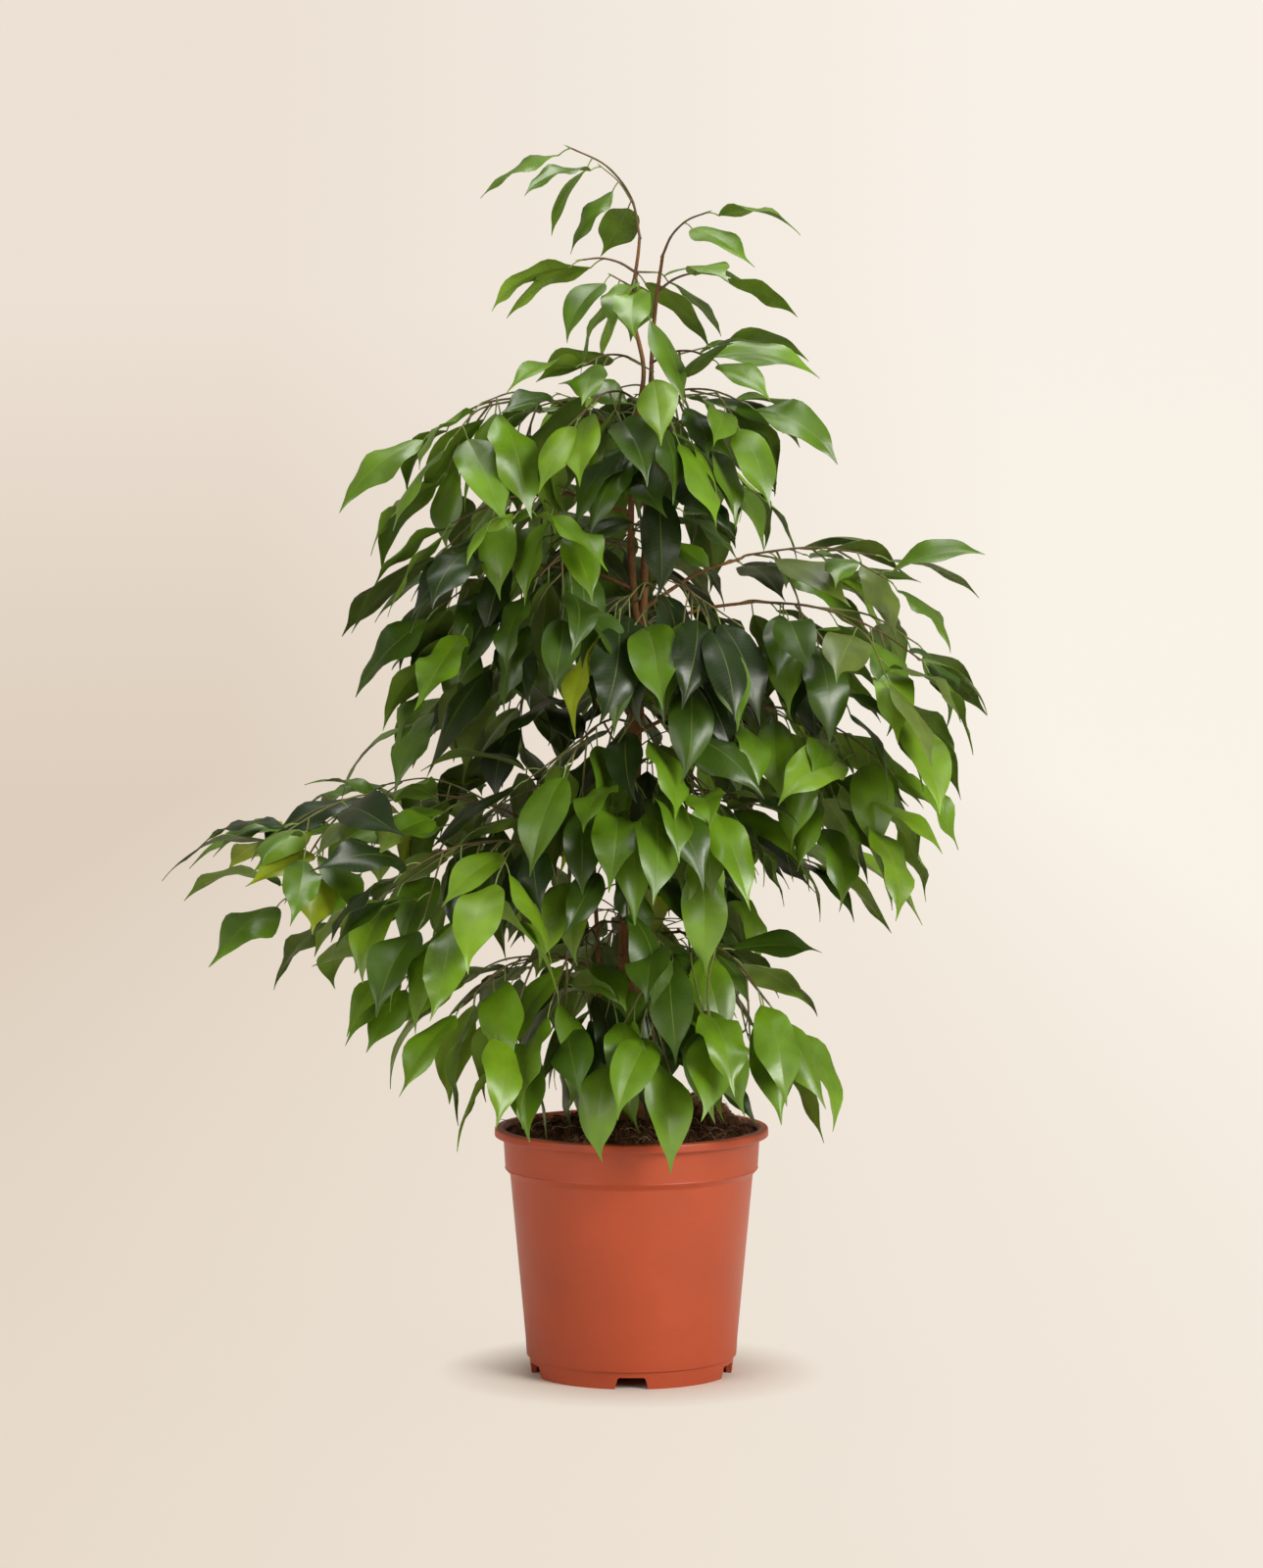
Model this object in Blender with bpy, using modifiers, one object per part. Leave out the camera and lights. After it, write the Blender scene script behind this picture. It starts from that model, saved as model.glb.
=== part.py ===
"""A weeping fig about 0.93 m high in a round plastic nursery pot.

The origin is the centre of the pot's flat underside. +Z is up and +X is the plant's right as seen from
the front, which faces -Y. Lengths are metres and angles are degrees. An azimuth turns from +X
towards +Y, and a pitch is measured up from level.

The trunk, the two leaders and a thin side stem carry the boughs. Each bough and the mass at its tip
lie on one arching path. A mass is a stem with shoots that fork from it by a seeded rule, and its leaves
alternate along them.
"""

import math
import random
from typing import NamedTuple

import bmesh
import bpy
from mathutils import Quaternion, Vector
from mathutils.bvhtree import BVHTree

GAP = 0.0003

# Pot: a 21 cm nursery pot
POT_HEIGHT = 0.189
RIM_RADIUS = 0.105
RIM_HEIGHT = 0.0067
RIM_TOP_WIDTH = 0.0065
BAND_TOP_RADIUS = 0.0983
BAND_FOOT_RADIUS = 0.0966
BAND_FOOT_Z = 0.157
BODY_TOP_RADIUS = 0.0931
BODY_TOP_Z = 0.153
SEAM_RADIUS = 0.0806
SEAM_Z = 0.0134
FOOT_TOP_RADIUS = 0.0787
FOOT_RADIUS = 0.0773
FOOT_WIDTH = 0.004
POT_WALL = 0.0017
FLOOR_UNDERSIDE_Z = 0.0118
FLOOR_THICKNESS = 0.0026
LIP_DEPTH = 0.003
RIM_EDGE = 0.001
PAD_RADIUS = 0.018
POT_STEPS = 32
NOTCHES = 5
NOTCH_TOP_WIDTH = 0.0205
NOTCH_FOOT_WIDTH = 0.0254
NOTCH_HEIGHT = 0.009
NOTCH_OVERCUT = 0.003
NOTCH_REACH = (0.065, 0.090)

# Peat
PEAT_EDGE_Z = 0.1845
PEAT_FOOT_Z = 0.1945
PEAT_FLAT_RADIUS = 0.036
PEAT_BLEND = 0.016
PEAT_EDGE_BLEND = 0.012
MOUND_HEIGHT = 0.0165
MOUND_AZIMUTH = 38
MOUND_REACH = 0.064
MOUND_WIDTH = 0.036
PEAT_ROUGHNESS = 0.0022
PEAT_RINGS = 7
PEAT_STEPS = POT_STEPS // 2
LUMPS = ((210, 1.3), (190, 0.4), (330, 260))

# Growth. A drift is how far a turn or pitch may stray to either side.
TWIG_SIDES = 3
BOUGH_SIDES = 6
STEM_RADIUS = 0.0019
SHOOT_RADIUS = 0.0016
TWIG_TIP_RADIUS = 0.0010
BOUGH_SWELL = 4.5
BOUGH_FOOT_SHARE = 1.1
TWIG_STEP = 0.044
LEAF_SPACING = 0.036
SHORTEST_STEP = 0.004
SHOOT_TURN = 48
SHOOT_SHARE = 0.66
FIRST_SHOOT_AT = 0.03
SHOOTS_SPREAD = 0.77
SHOOT_PITCH = (-14, 16)
SHOOT_BEND = (0.6, 12)
ZIGZAG = (3, 9)
WEEPING_EVERY = 3
WEEPING_TURN = 24
WEEPING_PITCH = (-55, -35)
WEEPING_DROP = 20
LEAF_WIDTH_SHARE = 0.42
LEAF_THICKNESS_SHARE = 0.015
WIDEST_AT = 0.50
THICKEST_AT = 0.32
LEAF_FOLD = 0.035
LEAF_DROOP = 0.10
ROOT_DEPTH = 0.0004
BARE_PETIOLE = 0.14
LEAF_TURN = 50
LEAF_TURN_DRIFT = 30
LEAF_PITCH_DRIFT = 24
TIP_LEAF_TURN_DRIFT = 12
TIP_LEAF_PITCH_DRIFT = 10
TIP_LEAF_HANG_SHARE = 0.7
LEAF_ROLL = 36
LEAF_SIZES = (0.80, 1.12)
LEAF_AT = 0.6
STEEPEST = -86
LEAF_TRIES = 7
FREEDOM_STEP = 0.35
CLEARANCE = 0.0007
ROD_MARGIN = 1.4
SMOOTH_BELOW = 40

BARK_COLOUR = (0.30, 0.16, 0.08)
LEAF_COLOUR = (0.055, 0.17, 0.035)
POT_COLOUR = (0.47, 0.088, 0.034)
PEAT_COLOUR = (0.045, 0.022, 0.012)


class Limb(NamedTuple):
    """A trunk, leader or stem: its axis from foot to tip, the radius at each point, and its sides."""

    name: str
    axis: list
    radii: list
    sides: int


class Mass(NamedTuple):
    """One bough and the mass of foliage at its tip."""

    name: str
    carrier: str
    height: float
    azimuth: float
    rise: float
    bough: float
    stem: float
    droop: float
    shoots: int
    hang: float
    leaf: float
    seed: int


LIMBS = [
    Limb(
        "trunk",
        [
            (0.0000, 0.0000, 0.1948),
            (0.0000, 0.0000, 0.2020),
            (-0.0006, 0.0000, 0.2200),
            (-0.0010, 0.0000, 0.2900),
            (-0.0008, -0.0008, 0.4150),
            (0.0018, -0.0006, 0.4900),
            (0.0065, 0.0000, 0.5520),
        ],
        [0.0130, 0.0116, 0.0104, 0.0094, 0.0084, 0.0068, 0.0060],
        10,
    ),
    Limb(
        "leader_right",
        [
            (0.00651, 0.0000, 0.5523),
            (0.0095, 0.0010, 0.6000),
            (0.0120, 0.0018, 0.6800),
            (0.0150, 0.0024, 0.7650),
            (0.0178, 0.0022, 0.8110),
            (0.0236, 0.0014, 0.8530),
        ],
        [0.0048, 0.0042, 0.0034, 0.0027, 0.0023, 0.0018],
        8,
    ),
    Limb(
        "leader_left",
        [
            (0.0074, -0.0004, 0.5620),
            (0.0020, -0.0030, 0.5900),
            (-0.0005, -0.0040, 0.6500),
            (0.0030, -0.0045, 0.7200),
            (0.0092, -0.0048, 0.7650),
            (0.0024, -0.0034, 0.8000),
            (0.0005, -0.0020, 0.8200),
            (0.0048, -0.0016, 0.8520),
            (0.0062, -0.0016, 0.8670),
        ],
        [0.0042, 0.0039, 0.0034, 0.0029, 0.0026, 0.0024, 0.0022, 0.0019, 0.0018],
        8,
    ),
    Limb(
        "side_stem",
        [
            (-0.0185, -0.0115, 0.1948),
            (-0.0185, -0.0115, 0.2020),
            (-0.0225, -0.0150, 0.2600),
            (-0.0262, -0.0160, 0.3400),
            (-0.0290, -0.0155, 0.3980),
        ],
        [0.0036, 0.0032, 0.0029, 0.0026, 0.0024],
        8,
    ),
]

# name, carrier, height on it, azimuth, rise, bough length, stem length, droop of both, shoots,
# mean pitch of the leaves, leaf length with its petiole, seed
MASSES = [
    Mass("tip_left", "leader_left", 0.867, 180, 90, 0.0, 0.09, 76, 0, -40, 0.077, 3),
    Mass("tip_right", "leader_right", 0.853, -24, 74, 0.0, 0.05, 66, 0, -19, 0.077, 5),
    Mass("neck_left", "leader_left", 0.840, 204, 36, 0.0, 0.044, 50, 0, -32, 0.079, 4),
    Mass("neck_right", "leader_right", 0.826, -30, 40, 0.0, 0.05, 54, 0, -27, 0.079, 8),
    Mass("neck_front", "leader_left", 0.826, -86, 34, 0.0, 0.048, 60, 2, -48, 0.077, 2),
    Mass("neck_back", "leader_left", 0.832, 88, 38, 0.0, 0.062, 60, 1, -34, 0.077, 6),
    Mass("collar_left", "leader_left", 0.77, 228, 26, 0.0, 0.062, 52, 2, -35, 0.081, 35),
    Mass("collar_right", "leader_right", 0.772, -46, 28, 0.0, 0.064, 54, 2, -35, 0.081, 36),
    Mass("shoulder_left", "leader_left", 0.705, 188, 52, 0.055, 0.11, 92, 5, -37, 0.088, 7),
    Mass("shoulder_left_low", "leader_left", 0.658, 204, 26, 0.055, 0.095, 58, 4, -40, 0.09, 9),
    Mass("shoulder_right", "leader_right", 0.742, -22, 30, 0.0, 0.074, 60, 4, -37, 0.081, 50),
    Mass("shoulder_front_left", "leader_left", 0.742, -124, 28, 0.0, 0.082, 74, 4, -60, 0.09, 11),
    Mass("shoulder_front_right", "leader_right", 0.730, -78, 30, 0.0, 0.086, 76, 4, -61, 0.09, 12),
    Mass("shoulder_back", "leader_right", 0.725, 74, 40, 0.040, 0.105, 80, 4, -42, 0.09, 13),
    Mass("shoulder_back_left", "leader_left", 0.690, 132, 34, 0.045, 0.105, 74, 4, -42, 0.09, 14),
    Mass("middle_left", "leader_left", 0.600, 190, 32, 0.060, 0.097, 74, 5, -43, 0.092, 15),
    Mass("middle_right_high", "leader_right", 0.585, 2, 40, 0.08, 0.104, 54, 4, -29, 0.088, 16),
    Mass("middle_right", "leader_right", 0.566, -12, 30, 0.088, 0.138, 70, 6, -45, 0.092, 17),
    Mass("middle_front_left", "leader_left", 0.632, -138, 20, 0.0, 0.098, 66, 4, -56, 0.092, 18),
    Mass("middle_front_right", "leader_right", 0.602, -62, 24, 0.0, 0.102, 72, 5, -65, 0.092, 19),
    Mass("middle_back_left", "trunk", 0.528, 146, 34, 0.055, 0.115, 72, 4, -43, 0.092, 20),
    Mass("middle_back_right", "trunk", 0.530, 48, 34, 0.055, 0.120, 76, 4, -43, 0.092, 21),
    Mass("low_left_far", "side_stem", 0.392, 178, 42, 0.070, 0.18, 70, 6, -21, 0.088, 22),
    Mass("low_left", "side_stem", 0.384, 212, 36, 0.060, 0.112, 66, 5, -43, 0.092, 23),
    Mass("low_right", "trunk", 0.490, -10, 32, 0.082, 0.118, 76, 4, -45, 0.092, 24),
    Mass("low_front_left", "trunk", 0.498, -120, 18, 0.0, 0.100, 64, 5, -63, 0.092, 25),
    Mass("low_front_right", "trunk", 0.468, -56, 20, 0.0, 0.105, 66, 5, -63, 0.092, 26),
    Mass("waist_front", "trunk", 0.524, -86, 12, 0.0, 0.078, 62, 4, -61, 0.09, 40),
    Mass("waist_back", "leader_right", 0.640, 96, 30, 0.0, 0.100, 70, 3, -45, 0.09, 41),
    Mass("inner_front", "trunk", 0.425, -104, 12, 0.0, 0.084, 60, 4, -60, 0.088, 42),
    Mass("low_back_left", "trunk", 0.440, 140, 26, 0.055, 0.120, 70, 4, -45, 0.092, 27),
    Mass("low_back_right", "trunk", 0.430, 44, 26, 0.045, 0.120, 70, 4, -45, 0.092, 28),
    Mass("skirt_left", "side_stem", 0.312, 214, 30, 0.034, 0.095, 78, 4, -50, 0.088, 29),
    Mass("skirt_front_left", "trunk", 0.345, -122, 18, 0.0, 0.122, 84, 5, -67, 0.09, 30),
    Mass("skirt_front_right", "trunk", 0.308, -80, 18, 0.0, 0.115, 80, 4, -71, 0.09, 33),
    Mass("skirt_right", "trunk", 0.335, -40, 20, 0.040, 0.1, 74, 5, -48, 0.092, 31),
    Mass("skirt_back", "trunk", 0.340, 96, 24, 0.045, 0.105, 74, 4, -48, 0.092, 32),
]


def direction(azimuth, pitch):
    """The unit vector at an azimuth and a pitch, in degrees."""
    turn = math.radians(azimuth)
    climb = math.radians(pitch)
    return Vector((math.cos(turn) * math.cos(climb), math.sin(turn) * math.cos(climb), math.sin(climb)))


def make_material(name, colour, roughness, metallic=0.0):
    material = bpy.data.materials.new(name)
    material.use_nodes = True
    shader = material.node_tree.nodes["Principled BSDF"]
    shader.inputs["Base Color"].default_value = (*colour, 1.0)
    shader.inputs["Roughness"].default_value = roughness
    shader.inputs["Metallic"].default_value = metallic
    return material


def new_collection(name):
    collection = bpy.data.collections.new(name)
    bpy.context.scene.collection.children.link(collection)
    return collection


def as_guide(obj):
    """Marks an object that only shapes others."""
    obj.hide_render = True
    obj.display_type = "WIRE"
    return obj


def to_meshes(curves, collection):
    """Replaces curve objects by mesh objects of the same names, with welded caps."""
    depsgraph = bpy.context.evaluated_depsgraph_get()
    meshes = [bpy.data.meshes.new_from_object(curve.evaluated_get(depsgraph)) for curve in curves]
    made = []
    for curve, mesh in zip(curves, meshes):
        name = curve.name
        place = curve.matrix_world.copy()
        data = curve.data
        bpy.data.objects.remove(curve)
        bpy.data.curves.remove(data)
        shell = bmesh.new()
        shell.from_mesh(mesh)
        bmesh.ops.remove_doubles(shell, verts=shell.verts, dist=1e-6)
        bmesh.ops.recalc_face_normals(shell, faces=shell.faces)
        shell.to_mesh(mesh)
        shell.free()
        mesh.name = name
        obj = bpy.data.objects.new(name, mesh)
        obj.matrix_world = place
        collection.objects.link(obj)
        made.append(obj)
    return made


def section(sides, guides):
    """A flat ring of the given number of sides and radius 1, which tubes are swept with."""
    name = f"section_{sides}"
    if name in bpy.data.objects:
        return bpy.data.objects[name]
    ring = bpy.data.curves.new(name, "CURVE")
    ring.dimensions = "2D"
    ring.fill_mode = "NONE"
    spline = ring.splines.new("POLY")
    spline.points.add(sides - 1)
    for number, point in enumerate(spline.points):
        turn = 2 * math.pi * number / sides
        point.co = (math.cos(turn), math.sin(turn), 0, 1)
    spline.use_cyclic_u = True
    obj = as_guide(bpy.data.objects.new(name, ring))
    guides.objects.link(obj)
    return obj


def tube(name, axis, radii, sides, collection, guides):
    """A capped tube as a curve object, as thick at each point of its axis as radii says."""
    curve = bpy.data.curves.new(name, "CURVE")
    curve.dimensions = "3D"
    curve.bevel_mode = "OBJECT"
    curve.bevel_object = section(sides, guides)
    curve.use_fill_caps = True
    spline = curve.splines.new("POLY")
    spline.points.add(len(axis) - 1)
    for point, place, radius in zip(spline.points, axis, radii):
        point.co = (*place, 1)
        point.radius = radius
    obj = bpy.data.objects.new(name, curve)
    collection.objects.link(obj)
    return obj


def apply_boolean(obj, operation, other):
    """Applies one Boolean with an object, or with every object of a collection."""
    modifier = obj.modifiers.new(operation.title(), "BOOLEAN")
    modifier.operation = operation
    modifier.solver = "EXACT"
    if isinstance(other, bpy.types.Collection):
        modifier.operand_type = "COLLECTION"
        modifier.collection = other
    else:
        modifier.object = other
    depsgraph = bpy.context.evaluated_depsgraph_get()
    mesh = bpy.data.meshes.new_from_object(obj.evaluated_get(depsgraph))
    obj.modifiers.remove(modifier)
    old = obj.data
    obj.data = mesh
    mesh.name = obj.name
    bpy.data.meshes.remove(old)


def dress(obj, material, smooth=True):
    """Gives an object its one material, and smooth shading with sharp edges kept."""
    obj.data.materials.clear()
    obj.data.materials.append(material)
    if smooth:
        obj.data.shade_smooth()
        obj.data.set_sharp_from_angle(angle=math.radians(SMOOTH_BELOW))


def turned(name, profile, steps, collection):
    """A solid turned about Z from an outline of (radius, height) that starts and ends on the axis."""
    outline = bpy.data.meshes.new(name)
    edges = [(number, number + 1) for number in range(len(profile) - 1)]
    outline.from_pydata([(radius, 0, height) for radius, height in profile], edges, [])
    obj = bpy.data.objects.new(name, outline)
    collection.objects.link(obj)
    screw = obj.modifiers.new("Turn", "SCREW")
    screw.axis = "Z"
    screw.steps = steps
    screw.render_steps = steps
    screw.use_merge_vertices = True
    screw.merge_threshold = 0.00001
    depsgraph = bpy.context.evaluated_depsgraph_get()
    mesh = bpy.data.meshes.new_from_object(obj.evaluated_get(depsgraph))
    obj.modifiers.clear()
    obj.data = mesh
    mesh.name = name
    bpy.data.meshes.remove(outline)
    return obj


def pot_inner_radius(height):
    """The radius of the pot's inner wall at a height, which follows the outer wall up to the lip."""
    outer = [
        (SEAM_Z, SEAM_RADIUS),
        (BODY_TOP_Z, BODY_TOP_RADIUS),
        (BAND_FOOT_Z, BAND_FOOT_RADIUS),
        (POT_HEIGHT, BAND_TOP_RADIUS),
    ]
    for (low, narrow), (high, wide) in zip(outer, outer[1:]):
        if height <= high:
            return narrow + (wide - narrow) * (height - low) / (high - low) - POT_WALL
    return BAND_TOP_RADIUS - POT_WALL


def inner_wall(low, high, clearance=0.0):
    """The pot's inner wall from one height up to another, as (radius, height) points."""
    heights = [low, BODY_TOP_Z, BAND_FOOT_Z, high]
    return [(pot_inner_radius(height) - clearance, height) for height in heights]


def make_pot(parts, guides):
    """The pot: a tapering shell with a broad rim, a band under it, and a notched foot ring."""
    floor_z = FLOOR_UNDERSIDE_Z + FLOOR_THICKNESS
    lip_radius = RIM_RADIUS - RIM_TOP_WIDTH
    profile = [(0, floor_z)]
    profile += inner_wall(floor_z, POT_HEIGHT - LIP_DEPTH)
    profile += [
        (lip_radius, POT_HEIGHT),
        (RIM_RADIUS - RIM_EDGE, POT_HEIGHT),
        (RIM_RADIUS, POT_HEIGHT - RIM_EDGE),
        (RIM_RADIUS, POT_HEIGHT - RIM_HEIGHT),
        (BAND_TOP_RADIUS, POT_HEIGHT - RIM_HEIGHT),
        (BAND_FOOT_RADIUS, BAND_FOOT_Z),
        (BODY_TOP_RADIUS, BODY_TOP_Z),
        (SEAM_RADIUS, SEAM_Z),
        (FOOT_TOP_RADIUS, SEAM_Z),
        (FOOT_RADIUS, 0),
        (FOOT_RADIUS - FOOT_WIDTH, 0),
        (FOOT_RADIUS - FOOT_WIDTH, FLOOR_UNDERSIDE_Z),
        (PAD_RADIUS, FLOOR_UNDERSIDE_Z),
        (PAD_RADIUS, 0),
        (0, 0),
    ]
    pot = turned("pot", profile, POT_STEPS, parts)
    for number in range(NOTCHES):
        cutter = make_notch(f"notch_{number + 1}", -90 + 360 * number / NOTCHES, guides)
        apply_boolean(pot, "DIFFERENCE", cutter)
    dress(pot, make_material("pot_plastic", POT_COLOUR, 0.38))
    return pot


def make_notch(name, azimuth, guides):
    """A tapering block across the foot ring, wider at the bottom, for one drain notch."""
    slope = (NOTCH_FOOT_WIDTH - NOTCH_TOP_WIDTH) / NOTCH_HEIGHT
    block = bmesh.new()
    bmesh.ops.create_cube(block, size=1.0)
    for corner in block.verts:
        height = NOTCH_HEIGHT if corner.co.z > 0 else -NOTCH_OVERCUT
        width = NOTCH_TOP_WIDTH + slope * (NOTCH_HEIGHT - height)
        across = math.copysign(width / 2, corner.co.y)
        corner.co = (NOTCH_REACH[corner.co.x > 0], across, height)
    mesh = bpy.data.meshes.new(name)
    block.to_mesh(mesh)
    block.free()
    obj = as_guide(bpy.data.objects.new(name, mesh))
    obj.rotation_euler.z = math.radians(azimuth)
    guides.objects.link(obj)
    return obj


def eased(distance, width):
    """0 before a distance of 0, 1 past the width, and straight between."""
    return min(1, max(0, distance / width))


def peat_height(x, y):
    """The height of the peat: low at the wall, level at the stems' feet, mounded at the back right."""
    radius = math.hypot(x, y)
    edge = pot_inner_radius(PEAT_EDGE_Z)
    away = eased(radius - PEAT_FLAT_RADIUS, PEAT_BLEND)
    inside = eased(edge - radius, PEAT_EDGE_BLEND)
    slope = (PEAT_EDGE_Z - PEAT_FOOT_Z) * eased(radius - PEAT_FLAT_RADIUS, edge - PEAT_FLAT_RADIUS)
    crest = direction(MOUND_AZIMUTH, 0) * MOUND_REACH
    mound = MOUND_HEIGHT * math.exp(-(math.hypot(x - crest.x, y - crest.y) / MOUND_WIDTH) ** 2)
    (across, shift), (deep, offset), (one, other) = LUMPS
    lumps = math.sin(across * x + shift) * math.cos(deep * y + offset) + 0.6 * math.sin(one * y - other * x)
    return PEAT_FOOT_Z + slope + away * inside * (mound + PEAT_ROUGHNESS * lumps)


def make_peat(parts):
    """The peat that fills the pot, with a mounded top."""
    floor_z = FLOOR_UNDERSIDE_Z + FLOOR_THICKNESS + GAP
    wall = inner_wall(floor_z, PEAT_EDGE_Z, clearance=GAP)
    top_radius = wall[-1][0]
    profile = [(top_radius * ring / PEAT_RINGS, PEAT_EDGE_Z) for ring in range(PEAT_RINGS)]
    profile += wall[::-1] + [(0, floor_z)]
    peat = turned("peat", profile, PEAT_STEPS, parts)
    for corner in peat.data.vertices:
        if corner.co.z > PEAT_EDGE_Z - GAP:
            corner.co.z = peat_height(corner.co.x, corner.co.y)
    dress(peat, make_material("peat", PEAT_COLOUR, 0.95), smooth=False)
    return peat


def limb_named(name):
    return next(limb for limb in LIMBS if limb.name == name)


def at_height(limb, height):
    """The point and the radius of an upright limb at a height."""
    axis = limb.axis
    radii = limb.radii
    for low, high, low_radius, high_radius in zip(axis, axis[1:], radii, radii[1:]):
        if height <= high[2]:
            share = max(0, (height - low[2]) / (high[2] - low[2]))
            return Vector(low).lerp(Vector(high), share), low_radius + (high_radius - low_radius) * share
    return Vector(axis[-1]), radii[-1]


def arching(start, azimuth, rise, length, droop, steps, swing=None):
    """Points along a limb that leaves at one pitch and bends evenly down, swung aside at each step."""
    points = [Vector(start)]
    for step in range(steps):
        pitch = rise - droop * (step + 0.5) / steps
        turn = swing[step] if swing else 0
        points.append(points[-1] + direction(azimuth + turn, pitch) * (length / steps))
    return points


def path_length(points):
    return sum((high - low).length for low, high in zip(points, points[1:]))


def along(points, distance):
    """The point at a distance along a path."""
    for low, high in zip(points, points[1:]):
        span = (high - low).length
        if distance <= span:
            return low.lerp(high, distance / span)
        distance -= span
    return points[-1]


def stretch_of(points, start, end):
    """The stretch of a path between two distances along it, without corners close to its ends."""
    walked = 0
    stretch = [along(points, start)]
    for low, high in zip(points, points[1:]):
        walked += (high - low).length
        if start + SHORTEST_STEP < walked < end - SHORTEST_STEP:
            stretch.append(high)
    stretch.append(along(points, end))
    return stretch


def make_limbs(parts, guides, bark):
    """The trunk, leaders and side stem. leader_left is cut clear of the leader that it forks from."""
    curves = [tube(limb.name, limb.axis, limb.radii, limb.sides, parts, guides) for limb in LIMBS]
    made = to_meshes(curves, parts)
    leader_left = next(obj for obj in made if obj.name == "leader_left")
    cut_clear(leader_left, "leader_right", guides)
    for obj in made:
        dress(obj, bark)
    return made


def cut_clear(obj, carrier, guides):
    """Cuts an object back from a limb, so that it meets the limb's bark with a gap."""
    limb = limb_named(carrier)
    gap = GAP / math.cos(math.pi / limb.sides)
    seat = tube(f"{obj.name}_seat", limb.axis, [r + gap for r in limb.radii], limb.sides, guides, guides)
    (seat,) = to_meshes([seat], guides)
    apply_boolean(obj, "DIFFERENCE", as_guide(seat))
    keep_largest(obj)


def keep_largest(obj):
    """Drops every loose scrap but the largest piece."""
    shell = bmesh.new()
    shell.from_mesh(obj.data)
    left = set(shell.verts)
    pieces = []
    while left:
        waiting = [left.pop()]
        piece = []
        while waiting:
            corner = waiting.pop()
            piece.append(corner)
            near = {link.other_vert(corner) for link in corner.link_edges} & left
            left -= near
            waiting += near
        pieces.append(piece)
    pieces.sort(key=len)
    scraps = [corner for piece in pieces[:-1] for corner in piece]
    bmesh.ops.delete(shell, geom=scraps, context="VERTS")
    shell.to_mesh(obj.data)
    shell.free()


class Arch(NamedTuple):
    """The path shared by a bough and its mass's stem, and the distances where each begins."""

    points: list
    length: float
    bark: float
    stem_start: float


def end_gap(before, after):
    """The gap that keeps a stem's cut foot clear of the cut tip of the limb before it."""
    lean = (Vector(before[-1]) - Vector(before[-2])).angle(after[1] - after[0])
    return GAP + STEM_RADIUS * math.sin(lean)


def arch_of(mass):
    """The arch of a mass. It starts on its carrier's axis and leaves the bark at a distance. A stem with
    no bough starts inside the bark, to be cut back to it, or clear of the carrier's tip."""
    limb = limb_named(mass.carrier)
    start, bark = at_height(limb, mass.height)
    if mass.height >= limb.axis[-1][2]:
        bark = 0
    length = bark + mass.bough + mass.stem
    steps = max(3, round(length / TWIG_STEP))
    points = arching(start, mass.azimuth, mass.rise, length, mass.droop, steps)
    if not bark:
        seat = end_gap(limb.axis, points)
    elif mass.bough:
        tip = bark + mass.bough
        seat = end_gap(stretch_of(points, 0, tip), stretch_of(points, tip, length))
    else:
        seat = -bark / 2
    return Arch(points, length, bark, bark + mass.bough + seat)


def make_boughs(parts, guides, bark):
    """Each mass's bough, from its limb's bark to where it enters the mass."""
    curves = []
    carriers = []
    for mass in MASSES:
        if not mass.bough:
            continue
        arch = arch_of(mass)
        axis = stretch_of(arch.points, 0, arch.bark + mass.bough)
        foot = STEM_RADIUS * (BOUGH_FOOT_SHARE + BOUGH_SWELL * mass.bough)
        radii = [foot + (STEM_RADIUS - foot) * step / (len(axis) - 1) for step in range(len(axis))]
        curves.append(tube(f"bough_{mass.name}", axis, radii, BOUGH_SIDES, parts, guides))
        carriers.append(mass.carrier)
    boughs = to_meshes(curves, parts)
    for bough, carrier in zip(boughs, carriers):
        cut_clear(bough, carrier, guides)
        dress(bough, bark)
    return boughs


class Twig(NamedTuple):
    """A stem or shoot of a mass: its axis, its azimuth, its first and last pitch, and its foot's radius."""

    axis: list
    azimuth: float
    rise: float
    fall: float
    radius: float


def zigzag(rng, steps):
    """Small turns to either side, one for each step."""
    side = rng.choice((-1, 1))
    return [side * (-1) ** step * rng.uniform(*ZIGZAG) for step in range(steps)]


def grow_twigs(mass):
    """The stem of a mass and the shoots that fork from it, left and right in turn. Every third shoot
    hangs."""
    rng = random.Random(mass.seed)
    arch = arch_of(mass)
    axis = stretch_of(arch.points, arch.stem_start, arch.length)
    length = path_length(axis)
    fall = mass.rise - mass.droop
    droop = mass.droop * length / arch.length
    rise = fall + droop
    twigs = [Twig(axis, mass.azimuth, rise, fall, STEM_RADIUS)]
    side = rng.choice((-1, 1))
    for number in range(mass.shoots):
        share = FIRST_SHOOT_AT + SHOOTS_SPREAD * (number + rng.uniform(0.1, 0.6)) / mass.shoots
        root = along(axis, share * length)
        reach = mass.stem * SHOOT_SHARE * (1.15 - 0.5 * share) * rng.uniform(0.85, 1.15)
        azimuth = mass.azimuth + side * SHOOT_TURN * rng.uniform(0.75, 1.25)
        pitch = rise - droop * share + rng.uniform(*SHOOT_PITCH)
        if number % WEEPING_EVERY == 1:
            azimuth = mass.azimuth + side * WEEPING_TURN * rng.uniform(0.5, 1.5)
            pitch = min(rise - droop * share - WEEPING_DROP, rng.uniform(*WEEPING_PITCH))
        bend = droop * SHOOT_BEND[0] + SHOOT_BEND[1]
        steps = max(1, round(reach / TWIG_STEP))
        path = arching(root, azimuth, pitch, reach, bend, steps, zigzag(rng, steps))
        twigs.append(Twig(path, azimuth, pitch, pitch - bend, SHOOT_RADIUS))
        side = -side
    return twigs


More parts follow.
